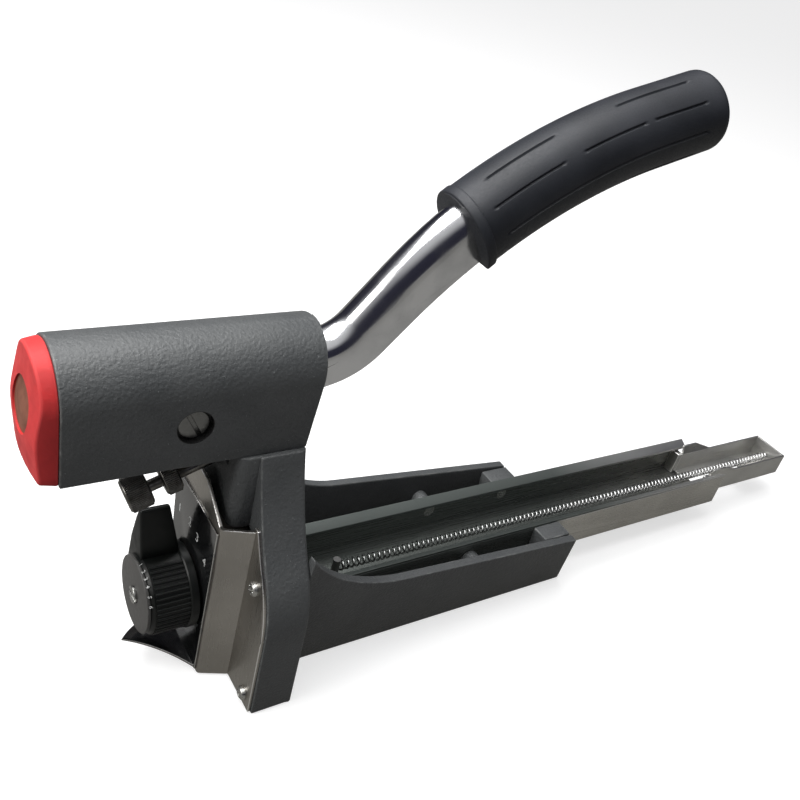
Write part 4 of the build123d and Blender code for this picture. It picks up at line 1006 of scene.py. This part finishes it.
# Stage: pale seamless floor, large soft lights and the camera of the photograph.
# The floor and sky look white to the camera, but light and mirror less than that.
floor_mesh = bpy.data.meshes.new("pale_floor")
reach, floor_level = 12.0, -0.5 * mm
corners = [(-reach, -reach), (reach, -reach), (reach, reach), (-reach, reach)]
floor_mesh.from_pydata([(x, y, floor_level) for x, y in corners], [], [(0, 1, 2, 3)])
floor = bpy.data.objects.new("pale_floor", floor_mesh)
bpy.context.scene.collection.objects.link(floor)
floor_white, tree, shader, coords = finish("pale_floor", (0.24, 0.24, 0.24), 0, 0.9)
shader.inputs["Specular IOR Level"].default_value = 0
rays = tree.nodes.new("ShaderNodeLightPath")
seen, mirrored = rays.outputs["Is Camera Ray"], rays.outputs["Is Glossy Ray"]
tree.links.new(tint(tree, seen, (0.10, 0.10, 0.10), (0.5, 0.5, 0.5)), shader.inputs["Base Color"])
tree.links.new(tint(tree, seen, (0.17, 0.165, 0.15), (0.62, 0.62, 0.62)), shader.inputs["Emission Color"])
tree.links.new(reckon(tree, "ADD", seen, mirrored), shader.inputs["Emission Strength"])
floor_mesh.materials.append(floor_white)


def soft_light(name, place, aim, size, power, colour=(1, 1, 1)):
    """Square soft light at a place, turned to a point."""
    lamp = bpy.data.lights.new(name, "AREA")
    lamp.shape = "SQUARE"
    lamp.size = size
    lamp.energy = power
    lamp.color = colour
    holder = bpy.data.objects.new(name, lamp)
    bpy.context.scene.collection.objects.link(holder)
    holder.location = place
    holder.rotation_mode = "QUATERNION"
    holder.rotation_quaternion = (Vector(aim) - Vector(place)).to_track_quat("-Z", "Y")
    return holder


soft_light("top_light", (-0.25, 0.25, 1.25), (0.1, 0, 0.1), 1.1, 24)
soft_light("left_light", (-1.3, 0.15, 0.75), (0, 0, 0.1), 0.8, 14, (1, 0.985, 0.96))
near_fill = soft_light("near_fill", (0.5, -1.6, 0.7), (0.1, 0, 0.1), 1.0, 1.5)
near_fill.visible_glossy = False

world = bpy.data.worlds.new("studio")
bpy.context.scene.world = world
world.use_nodes = True
tree = world.node_tree
sky = tree.nodes["Background"]
view = tree.nodes.new("ShaderNodeTexCoord")
height = split(tree, view.outputs["Generated"])[2]
shade = tree.nodes.new("ShaderNodeValToRGB")
stops = shade.color_ramp.elements
for place, value, blue in ((0.0, 0.4, 0.4), (0.47, 0.35, 0.35), (0.51, 0.03, 0.045), (0.74, 0.035, 0.055),
                           (0.85, 0.75, 0.76), (1.0, 1.0, 1.0)):
    stop = stops[0] if place == 0 else stops[1] if place == 1 else stops.new(place)
    stop.color = (value, value, blue, 1)
tree.links.new(span(tree, height, -1, 1, 0, 1), shade.inputs["Fac"])
rays = tree.nodes.new("ShaderNodeLightPath")
pale = tint(tree, rays.outputs["Is Camera Ray"], shade.outputs["Color"], (1.33, 1.33, 1.33))
tree.links.new(pale, sky.inputs["Color"])
sky.inputs["Strength"].default_value = 0.75

bpy.context.scene.view_settings.view_transform = "Standard"
picture, focus, centre_across, centre_down = 800, 904.3, 405.0, 415.7
lens = bpy.data.cameras.new("photo_camera")
lens.sensor_width = 36
lens.lens = focus / picture * lens.sensor_width
lens.shift_x = (picture / 2 - centre_across) / picture
lens.shift_y = (centre_down - picture / 2) / picture
lens.clip_start, lens.clip_end = 0.01, 50
camera = bpy.data.objects.new("photo_camera", lens)
bpy.context.scene.collection.objects.link(camera)
bpy.context.scene.camera = camera
across = Vector((0.82937, -0.51366, 0.21976))
upward = Vector((0.13611, 0.56726, 0.81221))
turned = Matrix((across, upward, across.cross(upward))).transposed().to_4x4()
turned.translation = Vector((-155.2, -269.1, 340.8)) * mm
camera.matrix_world = turned
